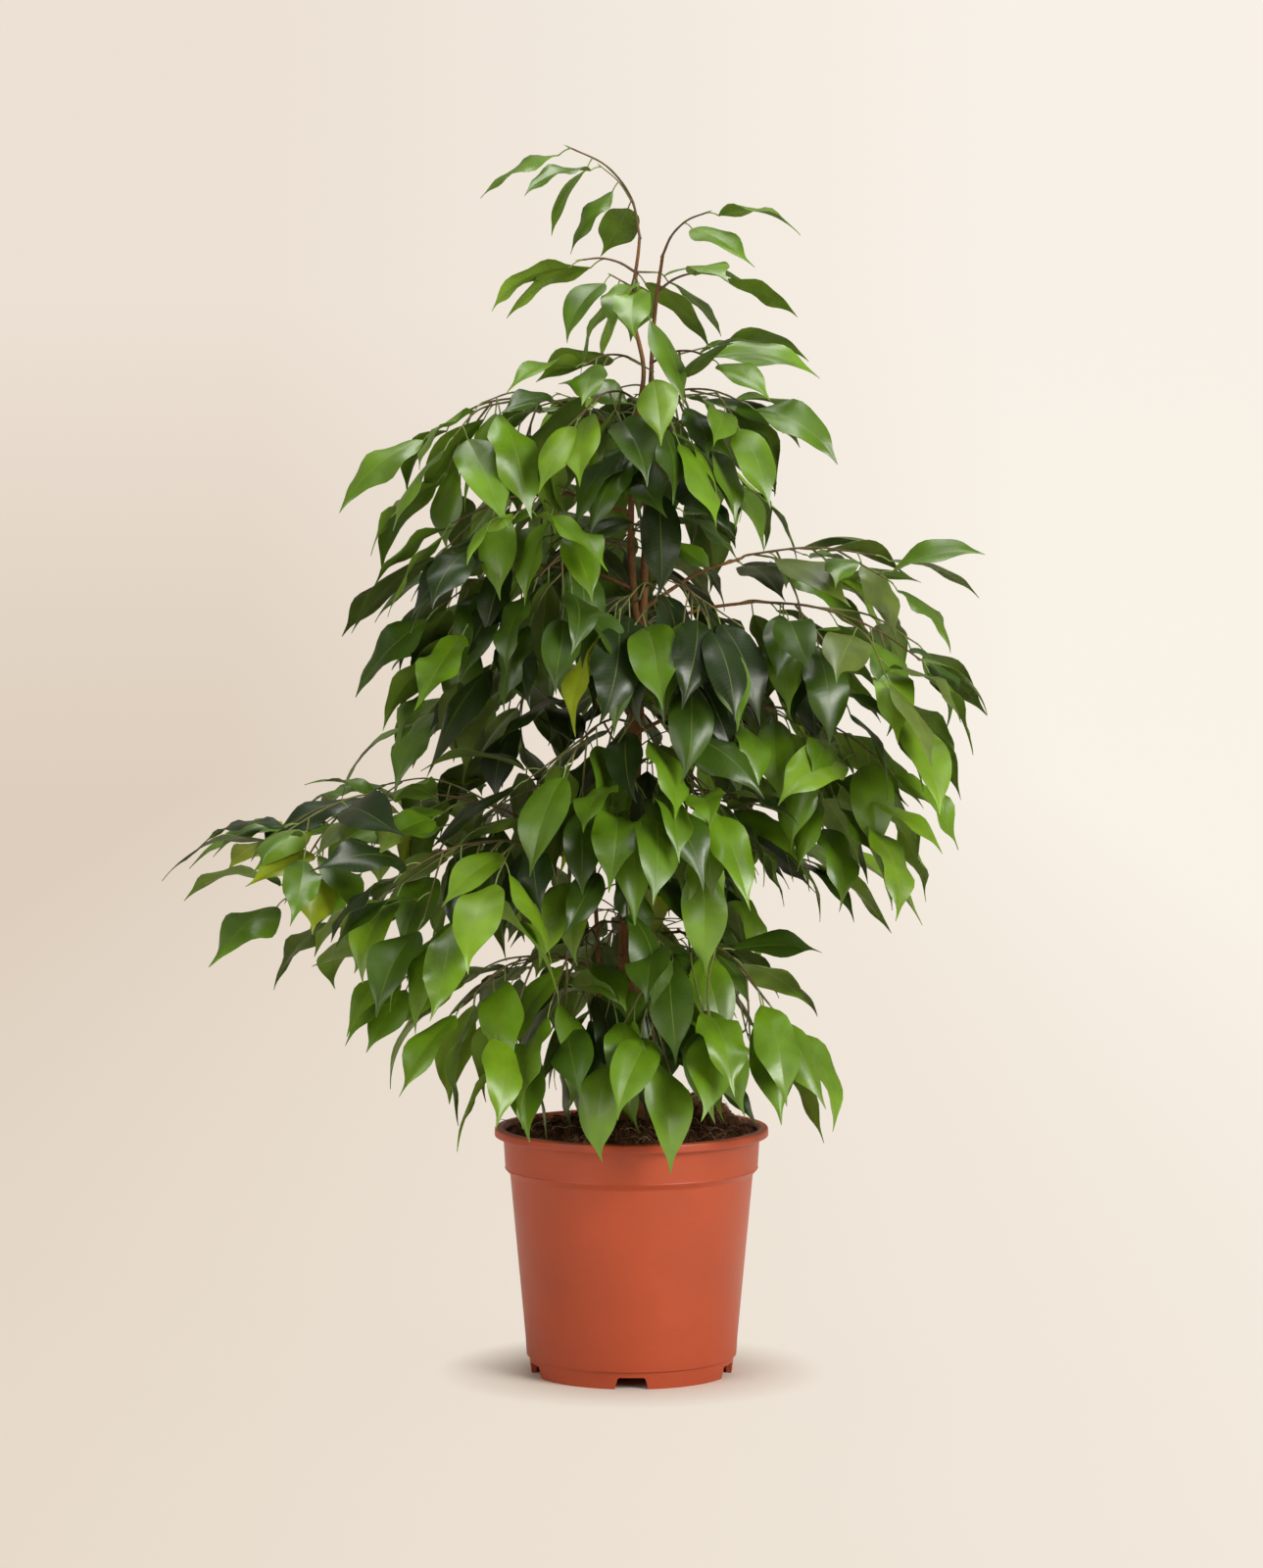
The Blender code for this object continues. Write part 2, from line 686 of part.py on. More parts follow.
def leaf_corners(root, azimuth, pitch, roll, length, grow=0.0, bare=0.0):
    """The six corners of a leaf: root, tip, left, right, upper and lower. Its face looks up and outward,
    it folds along its midrib and its tip hangs. grow thickens it for a clearance test, and bare moves the
    root along past the petiole."""
    run = direction(azimuth, pitch)
    face = Quaternion(run, math.radians(roll)) @ direction(azimuth, pitch + 90)
    across = run.cross(face)
    half_width = length * LEAF_WIDTH_SHARE / 2 + grow
    half_thick = length * LEAF_THICKNESS_SHARE / 2 + grow
    middle = root + run * (length * WIDEST_AT)
    spine = root + run * (length * THICKEST_AT)
    tip = root + run * (length + grow) - face * (length * LEAF_DROOP)
    fold = face * (length * LEAF_FOLD)
    start = root + run * (length * bare - (0 if bare else ROOT_DEPTH))
    return [
        start,
        tip,
        middle - across * half_width - fold,
        middle + across * half_width - fold,
        spine + face * half_thick,
        spine - face * half_thick,
    ]


LEAF_FACES = [(0, 2, 4), (0, 4, 3), (0, 3, 5), (0, 5, 2), (1, 4, 2), (1, 3, 4), (1, 5, 3), (1, 2, 5)]


def rod(low, high, radius):
    """The corners and faces of a three-sided rod, for clearance tests."""
    run = (high - low).normalized()
    side = run.orthogonal()
    corners = []
    for end in (low, high):
        for step in range(3):
            turn = Quaternion(run, 2 * math.pi * step / 3) @ side
            corners.append(end + turn * radius * ROD_MARGIN)
    return corners, [(0, 1, 4, 3), (1, 2, 5, 4), (2, 0, 3, 5), (0, 2, 1), (3, 4, 5)]


def tree_of(corners, faces):
    return BVHTree.FromPolygons(corners, faces)


class Room:
    """What has been placed so far, and whether a new shape would touch it."""

    def __init__(self, solids):
        depsgraph = bpy.context.evaluated_depsgraph_get()
        self.fixed = [BVHTree.FromObject(solid, depsgraph) for solid in solids]
        self.placed = []

    def add(self, owner, corners, faces):
        middle = sum(corners, Vector()) / len(corners)
        reach = max((corner - middle).length for corner in corners)
        self.placed.append((owner, middle, reach, tree_of(corners, faces)))

    def add_twig(self, owner, twig):
        for low, high in zip(twig.axis, twig.axis[1:]):
            self.add(owner, *rod(low, high, twig.radius + CLEARANCE))

    def is_free(self, corners, faces, fixed=True, only=None, never=None):
        """True if the shape cuts nothing: no limb, and no placed shape of the owner only, or of any
        owner but never."""
        tree = tree_of(corners, faces)
        if fixed and any(tree.overlap(solid) for solid in self.fixed):
            return False
        middle = sum(corners, Vector()) / len(corners)
        reach = max((corner - middle).length for corner in corners)
        for owner, centre, size, other in self.placed:
            if (only and owner != only) or owner == never:
                continue
            if (centre - middle).length < reach + size and tree.overlap(other):
                return False
        return True


def twig_fits(room, mass, twig):
    """True if a shoot clears the limbs and every other mass."""
    rods = zip(twig.axis, twig.axis[1:])
    return all(room.is_free(*rod(low, high, twig.radius + CLEARANCE), never=mass.name) for low, high in rods)


def plan_leaves(mass, twigs, room):
    """The leaves of a mass: alternate along each twig and one at its tip."""
    leaves = []
    for number, twig in enumerate(twigs):
        length = path_length(twig.axis)
        count = max(1, round(length / LEAF_SPACING))
        for node in range(count + 1):
            rng = random.Random(mass.seed * 7919 + number * 101 + node)
            share = min(1, (node + LEAF_AT) / count)
            leaf = fit_leaf(mass, twig, node, share, rng, room)
            if leaf:
                leaves.append(leaf)
    return leaves


def fit_leaf(mass, twig, node, share, rng, room):
    """A leaf at a share of its twig's length, in the first turn that touches nothing, or None."""
    root = along(twig.axis, share * path_length(twig.axis))
    side = 1 if node % 2 else -1
    length = mass.leaf * rng.uniform(*LEAF_SIZES)
    if share == 1:
        toward = twig.azimuth
        hang = twig.fall + TIP_LEAF_HANG_SHARE * (mass.hang - twig.fall)
        turn_drift = TIP_LEAF_TURN_DRIFT
        pitch_drift = TIP_LEAF_PITCH_DRIFT
    else:
        toward = twig.azimuth + side * LEAF_TURN
        hang = mass.hang
        turn_drift = LEAF_TURN_DRIFT
        pitch_drift = LEAF_PITCH_DRIFT
    for attempt in range(LEAF_TRIES):
        freedom = 1 + FREEDOM_STEP * attempt
        azimuth = toward + rng.uniform(-turn_drift, turn_drift) * freedom
        pitch = hang + rng.uniform(-pitch_drift, pitch_drift) * freedom
        roll = rng.uniform(-LEAF_ROLL, LEAF_ROLL)
        shape = (root, azimuth, max(STEEPEST, pitch), roll, length)
        whole = leaf_corners(*shape, grow=CLEARANCE)
        blade = leaf_corners(*shape, grow=CLEARANCE, bare=BARE_PETIOLE)
        clears_others = room.is_free(whole, LEAF_FACES, never=mass.name)
        if clears_others and room.is_free(blade, LEAF_FACES, fixed=False, only=mass.name):
            room.add(mass.name, whole, LEAF_FACES)
            return leaf_corners(*shape)
    return None


def leaf_object(name, corners, collection):
    """A leaf: a sphere of four segments and two rings, pulled to the leaf's six corners."""
    shape = bmesh.new()
    bmesh.ops.create_uvsphere(shape, u_segments=4, v_segments=2, radius=1)
    root, tip, left, right, upper, lower = corners
    targets = {
        (0, 0, -1): root,
        (0, 0, 1): tip,
        (-1, 0, 0): left,
        (1, 0, 0): right,
        (0, 1, 0): upper,
        (0, -1, 0): lower,
    }
    for corner in shape.verts:
        corner.co = targets[tuple(round(value) for value in corner.co)]
    bmesh.ops.triangulate(shape, faces=shape.faces)
    bmesh.ops.recalc_face_normals(shape, faces=shape.faces)
    mesh = bpy.data.meshes.new(name)
    shape.to_mesh(mesh)
    shape.free()
    obj = bpy.data.objects.new(name, mesh)
    collection.objects.link(obj)
    return obj


def make_mass(mass, twigs, leaves, parts, guides, material):
    """Joins a mass's twigs and leaves into one body."""
    pieces = new_collection(f"pieces_{mass.name}")
    curves = []
    for number, twig in enumerate(twigs):
        count = len(twig.axis) - 1
        thinning = (TWIG_TIP_RADIUS - twig.radius) / count
        radii = [twig.radius + thinning * step for step in range(count + 1)]
        curves.append(tube(f"twig_{number}", twig.axis, radii, TWIG_SIDES, pieces, guides))
    stem, *others = to_meshes(curves, pieces)
    others += [leaf_object(f"leaf_{number}", corners, pieces) for number, corners in enumerate(leaves)]
    pieces.objects.unlink(stem)
    parts.objects.link(stem)
    stem.name = f"foliage_{mass.name}"
    if not mass.bough:
        cut_clear(stem, mass.carrier, guides)
    apply_boolean(stem, "UNION", pieces)
    for piece in others:
        data = piece.data
        bpy.data.objects.remove(piece)
        bpy.data.meshes.remove(data)
    bpy.data.collections.remove(pieces)
    keep_largest(stem)
    dress(stem, material, smooth=False)


def make_foliage(parts, guides, solids):
    """Plans every mass's twigs, then its leaves, and joins each mass."""
    material = make_material("leaf", LEAF_COLOUR, 0.35)
    room = Room(solids)
    grown = [grow_twigs(mass) for mass in MASSES]
    for mass, twigs in zip(MASSES, grown):
        room.add_twig(mass.name, twigs[0])
    for mass, twigs in zip(MASSES, grown):
        for shoot in twigs[1:]:
            if twig_fits(room, mass, shoot):
                room.add_twig(mass.name, shoot)
            else:
                twigs.remove(shoot)
    for mass, twigs in zip(MASSES, grown):
        leaves = plan_leaves(mass, twigs, room)
        make_mass(mass, twigs, leaves, parts, guides, material)


def main():
    for obj in list(bpy.data.objects):
        bpy.data.objects.remove(obj)
    parts = new_collection("weeping_fig")
    guides = new_collection("cutters")
    bark = make_material("bark", BARK_COLOUR, 0.75)
    solids = [make_pot(parts, guides), make_peat(parts)]
    solids += make_limbs(parts, guides, bark)
    solids += make_boughs(parts, guides, bark)
    make_foliage(parts, guides, solids)


main()
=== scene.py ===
"""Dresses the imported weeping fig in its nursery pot: bark, twigs, leaves, peat, pot and studio.

Lengths are metres and angles degrees. +Z is up and -Y is the front. The limbs and the foliage grow by the
same rule and seeds as the part's solids, carried on to finer twigs.
"""

import math
import random
from itertools import pairwise
from typing import NamedTuple

import bmesh
import bpy
import numpy as np
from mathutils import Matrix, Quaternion, Vector, noise
from mathutils.bvhtree import BVHTree


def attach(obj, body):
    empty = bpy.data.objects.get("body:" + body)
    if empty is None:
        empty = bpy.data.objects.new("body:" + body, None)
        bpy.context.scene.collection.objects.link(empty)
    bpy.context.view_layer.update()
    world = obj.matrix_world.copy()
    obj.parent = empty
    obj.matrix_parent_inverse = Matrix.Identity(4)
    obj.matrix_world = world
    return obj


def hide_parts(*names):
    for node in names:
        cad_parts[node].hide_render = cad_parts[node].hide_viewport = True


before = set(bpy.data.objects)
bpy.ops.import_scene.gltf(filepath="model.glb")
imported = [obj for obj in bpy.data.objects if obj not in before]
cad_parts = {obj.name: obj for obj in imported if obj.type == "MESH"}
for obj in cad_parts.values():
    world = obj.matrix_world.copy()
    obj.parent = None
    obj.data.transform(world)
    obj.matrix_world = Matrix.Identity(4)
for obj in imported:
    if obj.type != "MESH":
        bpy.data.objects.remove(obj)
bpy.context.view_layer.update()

GAP = 0.0003
BODY = "root"

# Camera and studio
CAMERA_PLACE = (0.0, -3.47, 0.67)
CAMERA_TILT = 3.6
CAMERA_CLIP_END = 60
FOCAL_PIXELS = 4650
LONG_SIDE_PIXELS = 1600
SENSOR_MM = 36
FLOOR_RADIUS = 7.0
SWEEP_RADIUS = 2.2
WALL_TOP = 6.0
FLOOR_STEPS = 128
# The stage glows where the camera sees it, which is painted light. The glow is darker to the left and low
# down as painted shade, darkest low at the left as a painted shadow of the plant.
GLOW_REACH = (0.2, 1.9)
GLOW_LEAST = 0.98
GLOW_START = (0.078, 0.15)
GLOW_SIDES = (-1.0, 1.0)
GLOW_CLIMB = (0.0, 1.2)
GLOW_LEFT = (0.73, 0.62, 0.51)
GLOW_RIGHT = (0.95, 0.89, 0.80)
GLOW_LEFT_HIGH = (0.84, 0.75, 0.66)
GLOW_RIGHT_HIGH = (0.94, 0.88, 0.80)

# Pot
POT_HEIGHT = 0.189
RIM_RADIUS = 0.105
RIM_HEIGHT = 0.0067
RIM_TOP_WIDTH = 0.0065
BAND_TOP_RADIUS = 0.0983
BAND_FOOT_RADIUS = 0.0966
BAND_FOOT_Z = 0.157
BODY_TOP_RADIUS = 0.0931
BODY_TOP_Z = 0.153
SEAM_RADIUS = 0.0806
SEAM_Z = 0.0134
FOOT_TOP_RADIUS = 0.0787
FOOT_RADIUS = 0.0773
FOOT_WIDTH = 0.004
POT_WALL = 0.0017
FLOOR_UNDERSIDE_Z = 0.0118
FLOOR_THICKNESS = 0.0026
LIP_DEPTH = 0.003
RIM_EDGE = 0.001
PAD_RADIUS = 0.018
POT_STEPS = 192
NOTCHES = 5
NOTCH_TOP_WIDTH = 0.0205
NOTCH_FOOT_WIDTH = 0.0254
NOTCH_HEIGHT = 0.009
NOTCH_OVERCUT = 0.003
NOTCH_REACH = (0.065, 0.090)

# Peat
PEAT_EDGE_Z = 0.1845
PEAT_FOOT_Z = 0.1945
PEAT_FLAT_RADIUS = 0.036
PEAT_BLEND = 0.016
PEAT_EDGE_BLEND = 0.012
MOUND_HEIGHT = 0.0165
MOUND_AZIMUTH = 38
MOUND_REACH = 0.064
MOUND_WIDTH = 0.036
PEAT_ROUGHNESS = 0.0022
LUMPS = ((210, 1.3), (190, 0.4), (330, 260))
CROSS_LUMPS = 0.6

# Growth, as in the part's source
STEM_RADIUS = 0.0019
SHOOT_RADIUS = 0.0016
BOUGH_SWELL = 4.5
BOUGH_FOOT_SHARE = 1.1
TWIG_STEP = 0.044
LEAF_SPACING = 0.036
SHORTEST_STEP = 0.004
SHOOT_TURN = 48
SHOOT_TURN_DRIFT = (0.75, 1.25)
SHOOT_SHARE = 0.66
SHOOT_TAPER = (1.15, 0.5)
SHOOT_SIZES = (0.85, 1.15)
FIRST_SHOOT_AT = 0.03
SHOOTS_SPREAD = 0.77
SHOOT_AT = (0.1, 0.6)
SHOOT_PITCH = (-14, 16)
SHOOT_BEND = (0.6, 12)
ZIGZAG = (3, 9)
WEEPING_EVERY = 3
WEEPING_TURN = 24
WEEPING_TURN_DRIFT = (0.5, 1.5)
WEEPING_PITCH = (-55, -35)
WEEPING_DROP = 20
LEAF_WIDTH_SHARE = 0.42
LEAF_THICKNESS_SHARE = 0.015
WIDEST_AT = 0.50
THICKEST_AT = 0.32
LEAF_FOLD = 0.035
LEAF_DROOP = 0.10
ROOT_DEPTH = 0.0004
BARE_PETIOLE = 0.14
LEAF_TURN = 50
LEAF_TURN_DRIFT = 30
LEAF_PITCH_DRIFT = 24
TIP_LEAF_TURN_DRIFT = 12
TIP_LEAF_PITCH_DRIFT = 10
TIP_LEAF_HANG_SHARE = 0.7
LEAF_ROLL = 36
LEAF_SIZES = (0.80, 1.12)
LEAF_AT = 0.6
LEAF_SEEDS = (7919, 101)
STEEPEST = -86
LEAF_TRIES = 7
FREEDOM_STEP = 0.35
CLEARANCE = 0.0007
ROD_MARGIN = 1.4

# Finer twigs, which only the scene has
BOUGH_SLIMNESS = 0.58
LEADER_SLIMNESS = (0.82, 0.62)
FINE_RADIUS = 0.0010
FINE_REACH = (0.026, 0.046)
FINE_TURN = (34, 66)
FINE_BEND = 34
FINE_LEAF_SIZES = (0.72, 0.92)
FINE_LEAF_SEEDS = (6007, 97)
FINE_SEEDS = (613, 5)
FINE_SPACING = 0.046
FINE_AT = (0.25, 0.75)
FINE_LIFT = (-18, 10)
FINE_WITHIN = 0.72
LONGEST_PLAIN_STEM = 0.15
FINE_WITHIN_LONG = 1.25
LIMB_TWIGS = 3
LIMB_TWIG_SPREAD = (-0.030, 0.022)
LOWEST_LIMB_TWIG = 0.30
HIGHEST_LIMB_TWIG = 0.755
LIMB_TWIG_TURN = (35, 150)
LIMB_TWIG_PITCH = (5, 45)
LIMB_TWIG_REACH = (0.034, 0.060)
LIMB_TWIG_LEAD = 1.6
BOUGH_TWIGS = 2
BOUGH_TWIG_AT = (0.4, 0.9)
BOUGH_TWIG_LIFT = (-4, 22)
BOUGH_TWIG_LEAD = 2.6
SHORTEST_FINE_STEM = 0.09

# The crown's radius at some heights, and how many times narrower it is from front to back
CROWN_DEPTH = 1.4
CROWN_HEIGHTS = (0.18, 0.30, 0.40, 0.50, 0.60, 0.70, 0.80, 0.95)
CROWN_RADII = (0.11, 0.17, 0.25, 0.25, 0.24, 0.17, 0.07, 0.04)

BARK_COLOUR = (0.270, 0.112, 0.034)
POT_COLOUR = (0.415, 0.063, 0.018)


class Limb(NamedTuple):
    name: str
    axis: list
    radii: list


class Mass(NamedTuple):
    name: str
    carrier: str
    height: float
    azimuth: float
    rise: float
    bough: float
    stem: float
    droop: float
    shoots: int
    hang: float
    leaf: float
    seed: int


LIMBS = [
    Limb(
        "trunk",
        [
            (0.0, 0.0, 0.1948), (0.0, 0.0, 0.202), (-0.0006, 0.0, 0.22), (-0.001, 0.0, 0.29),
            (-0.0008, -0.0008, 0.415), (0.0018, -0.0006, 0.49), (0.0065, 0.0, 0.552),
        ],
        [0.013, 0.0116, 0.0104, 0.0094, 0.0084, 0.0068, 0.006],
    ),
    Limb(
        "leader_right",
        [
            (0.00651, 0.0, 0.5523), (0.0095, 0.001, 0.6), (0.012, 0.0018, 0.68), (0.015, 0.0024, 0.765),
            (0.0178, 0.0022, 0.811), (0.0236, 0.0014, 0.853),
        ],
        [0.0048, 0.0042, 0.0034, 0.0027, 0.0023, 0.0018],
    ),
    Limb(
        "leader_left",
        [
            (0.0074, -0.0004, 0.562), (0.002, -0.003, 0.59), (-0.0005, -0.004, 0.65),
            (0.003, -0.0045, 0.72), (0.0092, -0.0048, 0.765), (0.0024, -0.0034, 0.8),
            (0.0005, -0.002, 0.82), (0.0048, -0.0016, 0.852), (0.0062, -0.0016, 0.867),
        ],
        [0.0042, 0.0039, 0.0034, 0.0029, 0.0026, 0.0024, 0.0022, 0.0019, 0.0018],
    ),
    Limb(
        "side_stem",
        [
            (-0.0185, -0.0115, 0.1948), (-0.0185, -0.0115, 0.202), (-0.0225, -0.015, 0.26),
            (-0.0262, -0.016, 0.34), (-0.029, -0.0155, 0.398),
        ],
        [0.0036, 0.0032, 0.0029, 0.0026, 0.0024],
    ),
]

# name, carrier, height on it, azimuth, rise, bough length, stem length, droop of both, shoots,
# mean pitch of the leaves, leaf length with its petiole, seed
MASSES = [
    Mass("tip_left", "leader_left", 0.867, 180, 90, 0.0, 0.09, 76, 0, -40, 0.077, 3),
    Mass("tip_right", "leader_right", 0.853, -24, 74, 0.0, 0.05, 66, 0, -19, 0.077, 5),
    Mass("neck_left", "leader_left", 0.840, 204, 36, 0.0, 0.044, 50, 0, -32, 0.079, 4),
    Mass("neck_right", "leader_right", 0.826, -30, 40, 0.0, 0.05, 54, 0, -27, 0.079, 8),
    Mass("neck_front", "leader_left", 0.826, -86, 34, 0.0, 0.048, 60, 2, -48, 0.077, 2),
    Mass("neck_back", "leader_left", 0.832, 88, 38, 0.0, 0.062, 60, 1, -34, 0.077, 6),
    Mass("collar_left", "leader_left", 0.77, 228, 26, 0.0, 0.062, 52, 2, -35, 0.081, 35),
    Mass("collar_right", "leader_right", 0.772, -46, 28, 0.0, 0.064, 54, 2, -35, 0.081, 36),
    Mass("shoulder_left", "leader_left", 0.705, 188, 52, 0.055, 0.11, 92, 5, -37, 0.088, 7),
    Mass("shoulder_left_low", "leader_left", 0.658, 204, 26, 0.055, 0.095, 58, 4, -40, 0.09, 9),
    Mass("shoulder_right", "leader_right", 0.742, -22, 30, 0.0, 0.074, 60, 4, -37, 0.081, 50),
    Mass("shoulder_front_left", "leader_left", 0.742, -124, 28, 0.0, 0.082, 74, 4, -60, 0.09, 11),
    Mass("shoulder_front_right", "leader_right", 0.730, -78, 30, 0.0, 0.086, 76, 4, -61, 0.09, 12),
    Mass("shoulder_back", "leader_right", 0.725, 74, 40, 0.040, 0.105, 80, 4, -42, 0.09, 13),
    Mass("shoulder_back_left", "leader_left", 0.690, 132, 34, 0.045, 0.105, 74, 4, -42, 0.09, 14),
    Mass("middle_left", "leader_left", 0.600, 190, 32, 0.060, 0.097, 74, 5, -43, 0.092, 15),
    Mass("middle_right_high", "leader_right", 0.585, 2, 40, 0.08, 0.104, 54, 4, -29, 0.088, 16),
    Mass("middle_right", "leader_right", 0.566, -12, 30, 0.088, 0.138, 70, 6, -45, 0.092, 17),
    Mass("middle_front_left", "leader_left", 0.632, -138, 20, 0.0, 0.098, 66, 4, -56, 0.092, 18),
    Mass("middle_front_right", "leader_right", 0.602, -62, 24, 0.0, 0.102, 72, 5, -65, 0.092, 19),
    Mass("middle_back_left", "trunk", 0.528, 146, 34, 0.055, 0.115, 72, 4, -43, 0.092, 20),
    Mass("middle_back_right", "trunk", 0.530, 48, 34, 0.055, 0.120, 76, 4, -43, 0.092, 21),
    Mass("low_left_far", "side_stem", 0.392, 178, 42, 0.070, 0.18, 70, 6, -21, 0.088, 22),
    Mass("low_left", "side_stem", 0.384, 212, 36, 0.060, 0.112, 66, 5, -43, 0.092, 23),
    Mass("low_right", "trunk", 0.490, -10, 32, 0.082, 0.118, 76, 4, -45, 0.092, 24),
    Mass("low_front_left", "trunk", 0.498, -120, 18, 0.0, 0.100, 64, 5, -63, 0.092, 25),
    Mass("low_front_right", "trunk", 0.468, -56, 20, 0.0, 0.105, 66, 5, -63, 0.092, 26),
    Mass("waist_front", "trunk", 0.524, -86, 12, 0.0, 0.078, 62, 4, -61, 0.09, 40),
    Mass("waist_back", "leader_right", 0.640, 96, 30, 0.0, 0.100, 70, 3, -45, 0.09, 41),
    Mass("inner_front", "trunk", 0.425, -104, 12, 0.0, 0.084, 60, 4, -60, 0.088, 42),
    Mass("low_back_left", "trunk", 0.440, 140, 26, 0.055, 0.120, 70, 4, -45, 0.092, 27),
    Mass("low_back_right", "trunk", 0.430, 44, 26, 0.045, 0.120, 70, 4, -45, 0.092, 28),
    Mass("skirt_left", "side_stem", 0.312, 214, 30, 0.034, 0.095, 78, 4, -50, 0.088, 29),
    Mass("skirt_front_left", "trunk", 0.345, -122, 18, 0.0, 0.122, 84, 5, -67, 0.09, 30),
    Mass("skirt_front_right", "trunk", 0.308, -80, 18, 0.0, 0.115, 80, 4, -71, 0.09, 33),
    Mass("skirt_right", "trunk", 0.335, -40, 20, 0.040, 0.1, 74, 5, -48, 0.092, 31),
    Mass("skirt_back", "trunk", 0.340, 96, 24, 0.045, 0.105, 74, 4, -48, 0.092, 32),
]


def direction(azimuth, pitch):
    """The unit vector at an azimuth and a pitch, in degrees."""
    turn = math.radians(azimuth)
    climb = math.radians(pitch)
    return Vector((math.cos(turn) * math.cos(climb), math.sin(turn) * math.cos(climb), math.sin(climb)))


# Growth rule


def limb_named(name):
    return next(limb for limb in LIMBS if limb.name == name)


def at_height(limb, height):
    """The point and the radius of an upright limb at a height."""
    axis = limb.axis
    radii = limb.radii
    for low, high, low_radius, high_radius in zip(axis, axis[1:], radii, radii[1:]):
        if height <= high[2]:
            share = max(0, (height - low[2]) / (high[2] - low[2]))
            return Vector(low).lerp(Vector(high), share), low_radius + (high_radius - low_radius) * share
    return Vector(axis[-1]), radii[-1]


def arching(start, azimuth, rise, length, droop, steps, swing=None):
    """Points along a limb that leaves at one pitch and bends evenly down, swung aside at each step."""
    points = [Vector(start)]
    for step in range(steps):
        pitch = rise - droop * (step + 0.5) / steps
        turn = swing[step] if swing else 0
        points.append(points[-1] + direction(azimuth + turn, pitch) * (length / steps))
    return points


def path_length(points):
    return sum((high - low).length for low, high in pairwise(points))


def along(points, distance):
    """The point at a distance along a path."""
    for low, high in pairwise(points):
        span = (high - low).length
        if distance <= span:
            return low.lerp(high, distance / span)
        distance -= span
    return points[-1]


def stretch_of(points, start, end):
    """The stretch of a path between two distances along it, without corners close to its ends."""
    walked = 0
    stretch = [along(points, start)]
    for low, high in pairwise(points):
        walked += (high - low).length
        if start + SHORTEST_STEP < walked < end - SHORTEST_STEP:
            stretch.append(high)
    stretch.append(along(points, end))
    return stretch


class Arch(NamedTuple):
    """The path shared by a bough and its mass's stem, and the distances where each begins."""

    points: list
    length: float
    bark: float
    stem_start: float


def end_gap(before, after):
    lean = (Vector(before[-1]) - Vector(before[-2])).angle(after[1] - after[0])
    return GAP + STEM_RADIUS * math.sin(lean)


def arch_of(mass):
    limb = limb_named(mass.carrier)
    start, bark = at_height(limb, mass.height)
    if mass.height >= limb.axis[-1][2]:
        bark = 0
    length = bark + mass.bough + mass.stem
    steps = max(3, round(length / TWIG_STEP))
    points = arching(start, mass.azimuth, mass.rise, length, mass.droop, steps)
    if not bark:
        seat = end_gap(limb.axis, points)
    elif mass.bough:
        tip = bark + mass.bough
        seat = end_gap(stretch_of(points, 0, tip), stretch_of(points, tip, length))
    else:
        seat = -bark / 2
    return Arch(points, length, bark, bark + mass.bough + seat)


class Twig(NamedTuple):
    """A stem or shoot: its axis, its azimuth, its first and last pitch, its foot's radius, and its
    order: 0 for a mass's stem, 1 for a shoot and 2 for a finer twig."""

    axis: list
    azimuth: float
    rise: float
    fall: float
    radius: float
    order: int


def zigzag(rng, steps):
    side = rng.choice((-1, 1))
    return [side * (-1) ** step * rng.uniform(*ZIGZAG) for step in range(steps)]


def grow_twigs(mass):
    """The stem of a mass and the shoots that fork from it, left and right in turn."""
    rng = random.Random(mass.seed)
    arch = arch_of(mass)
    axis = stretch_of(arch.points, arch.stem_start, arch.length)
    length = path_length(axis)
    fall = mass.rise - mass.droop
    droop = mass.droop * length / arch.length
    rise = fall + droop
    twigs = [Twig(axis, mass.azimuth, rise, fall, STEM_RADIUS, 0)]
    side = rng.choice((-1, 1))
    for number in range(mass.shoots):
        share = FIRST_SHOOT_AT + SHOOTS_SPREAD * (number + rng.uniform(*SHOOT_AT)) / mass.shoots
        root = along(axis, share * length)
        taper = SHOOT_TAPER[0] - SHOOT_TAPER[1] * share
        reach = mass.stem * SHOOT_SHARE * taper * rng.uniform(*SHOOT_SIZES)
        azimuth = mass.azimuth + side * SHOOT_TURN * rng.uniform(*SHOOT_TURN_DRIFT)
        pitch = rise - droop * share + rng.uniform(*SHOOT_PITCH)
        if number % WEEPING_EVERY == 1:
            azimuth = mass.azimuth + side * WEEPING_TURN * rng.uniform(*WEEPING_TURN_DRIFT)
            pitch = min(rise - droop * share - WEEPING_DROP, rng.uniform(*WEEPING_PITCH))
        bend = droop * SHOOT_BEND[0] + SHOOT_BEND[1]
        steps = max(1, round(reach / TWIG_STEP))
        path = arching(root, azimuth, pitch, reach, bend, steps, zigzag(rng, steps))
        twigs.append(Twig(path, azimuth, pitch, pitch - bend, SHOOT_RADIUS, 1))
        side = -side
    return twigs


def leaf_corners(root, azimuth, pitch, roll, length, grow=0.0, bare=0.0):
    """The six corners of a plain leaf, which stands for the real blade in clearance tests."""
    run, face, across = leaf_axes(azimuth, pitch, roll)
    half_width = length * LEAF_WIDTH_SHARE / 2 + grow
    half_thick = length * LEAF_THICKNESS_SHARE / 2 + grow
    middle = root + run * (length * WIDEST_AT)
    spine = root + run * (length * THICKEST_AT)
    tip = root + run * (length + grow) - face * (length * LEAF_DROOP)
    fold = face * (length * LEAF_FOLD)
    start = root + run * (length * bare - (0 if bare else ROOT_DEPTH))
    return [
        start,
        tip,
        middle - across * half_width - fold,
        middle + across * half_width - fold,
        spine + face * half_thick,
        spine - face * half_thick,
    ]


def leaf_axes(azimuth, pitch, roll):
    run = direction(azimuth, pitch)
    face = Quaternion(run, math.radians(roll)) @ direction(azimuth, pitch + 90)
    return run, face, run.cross(face)


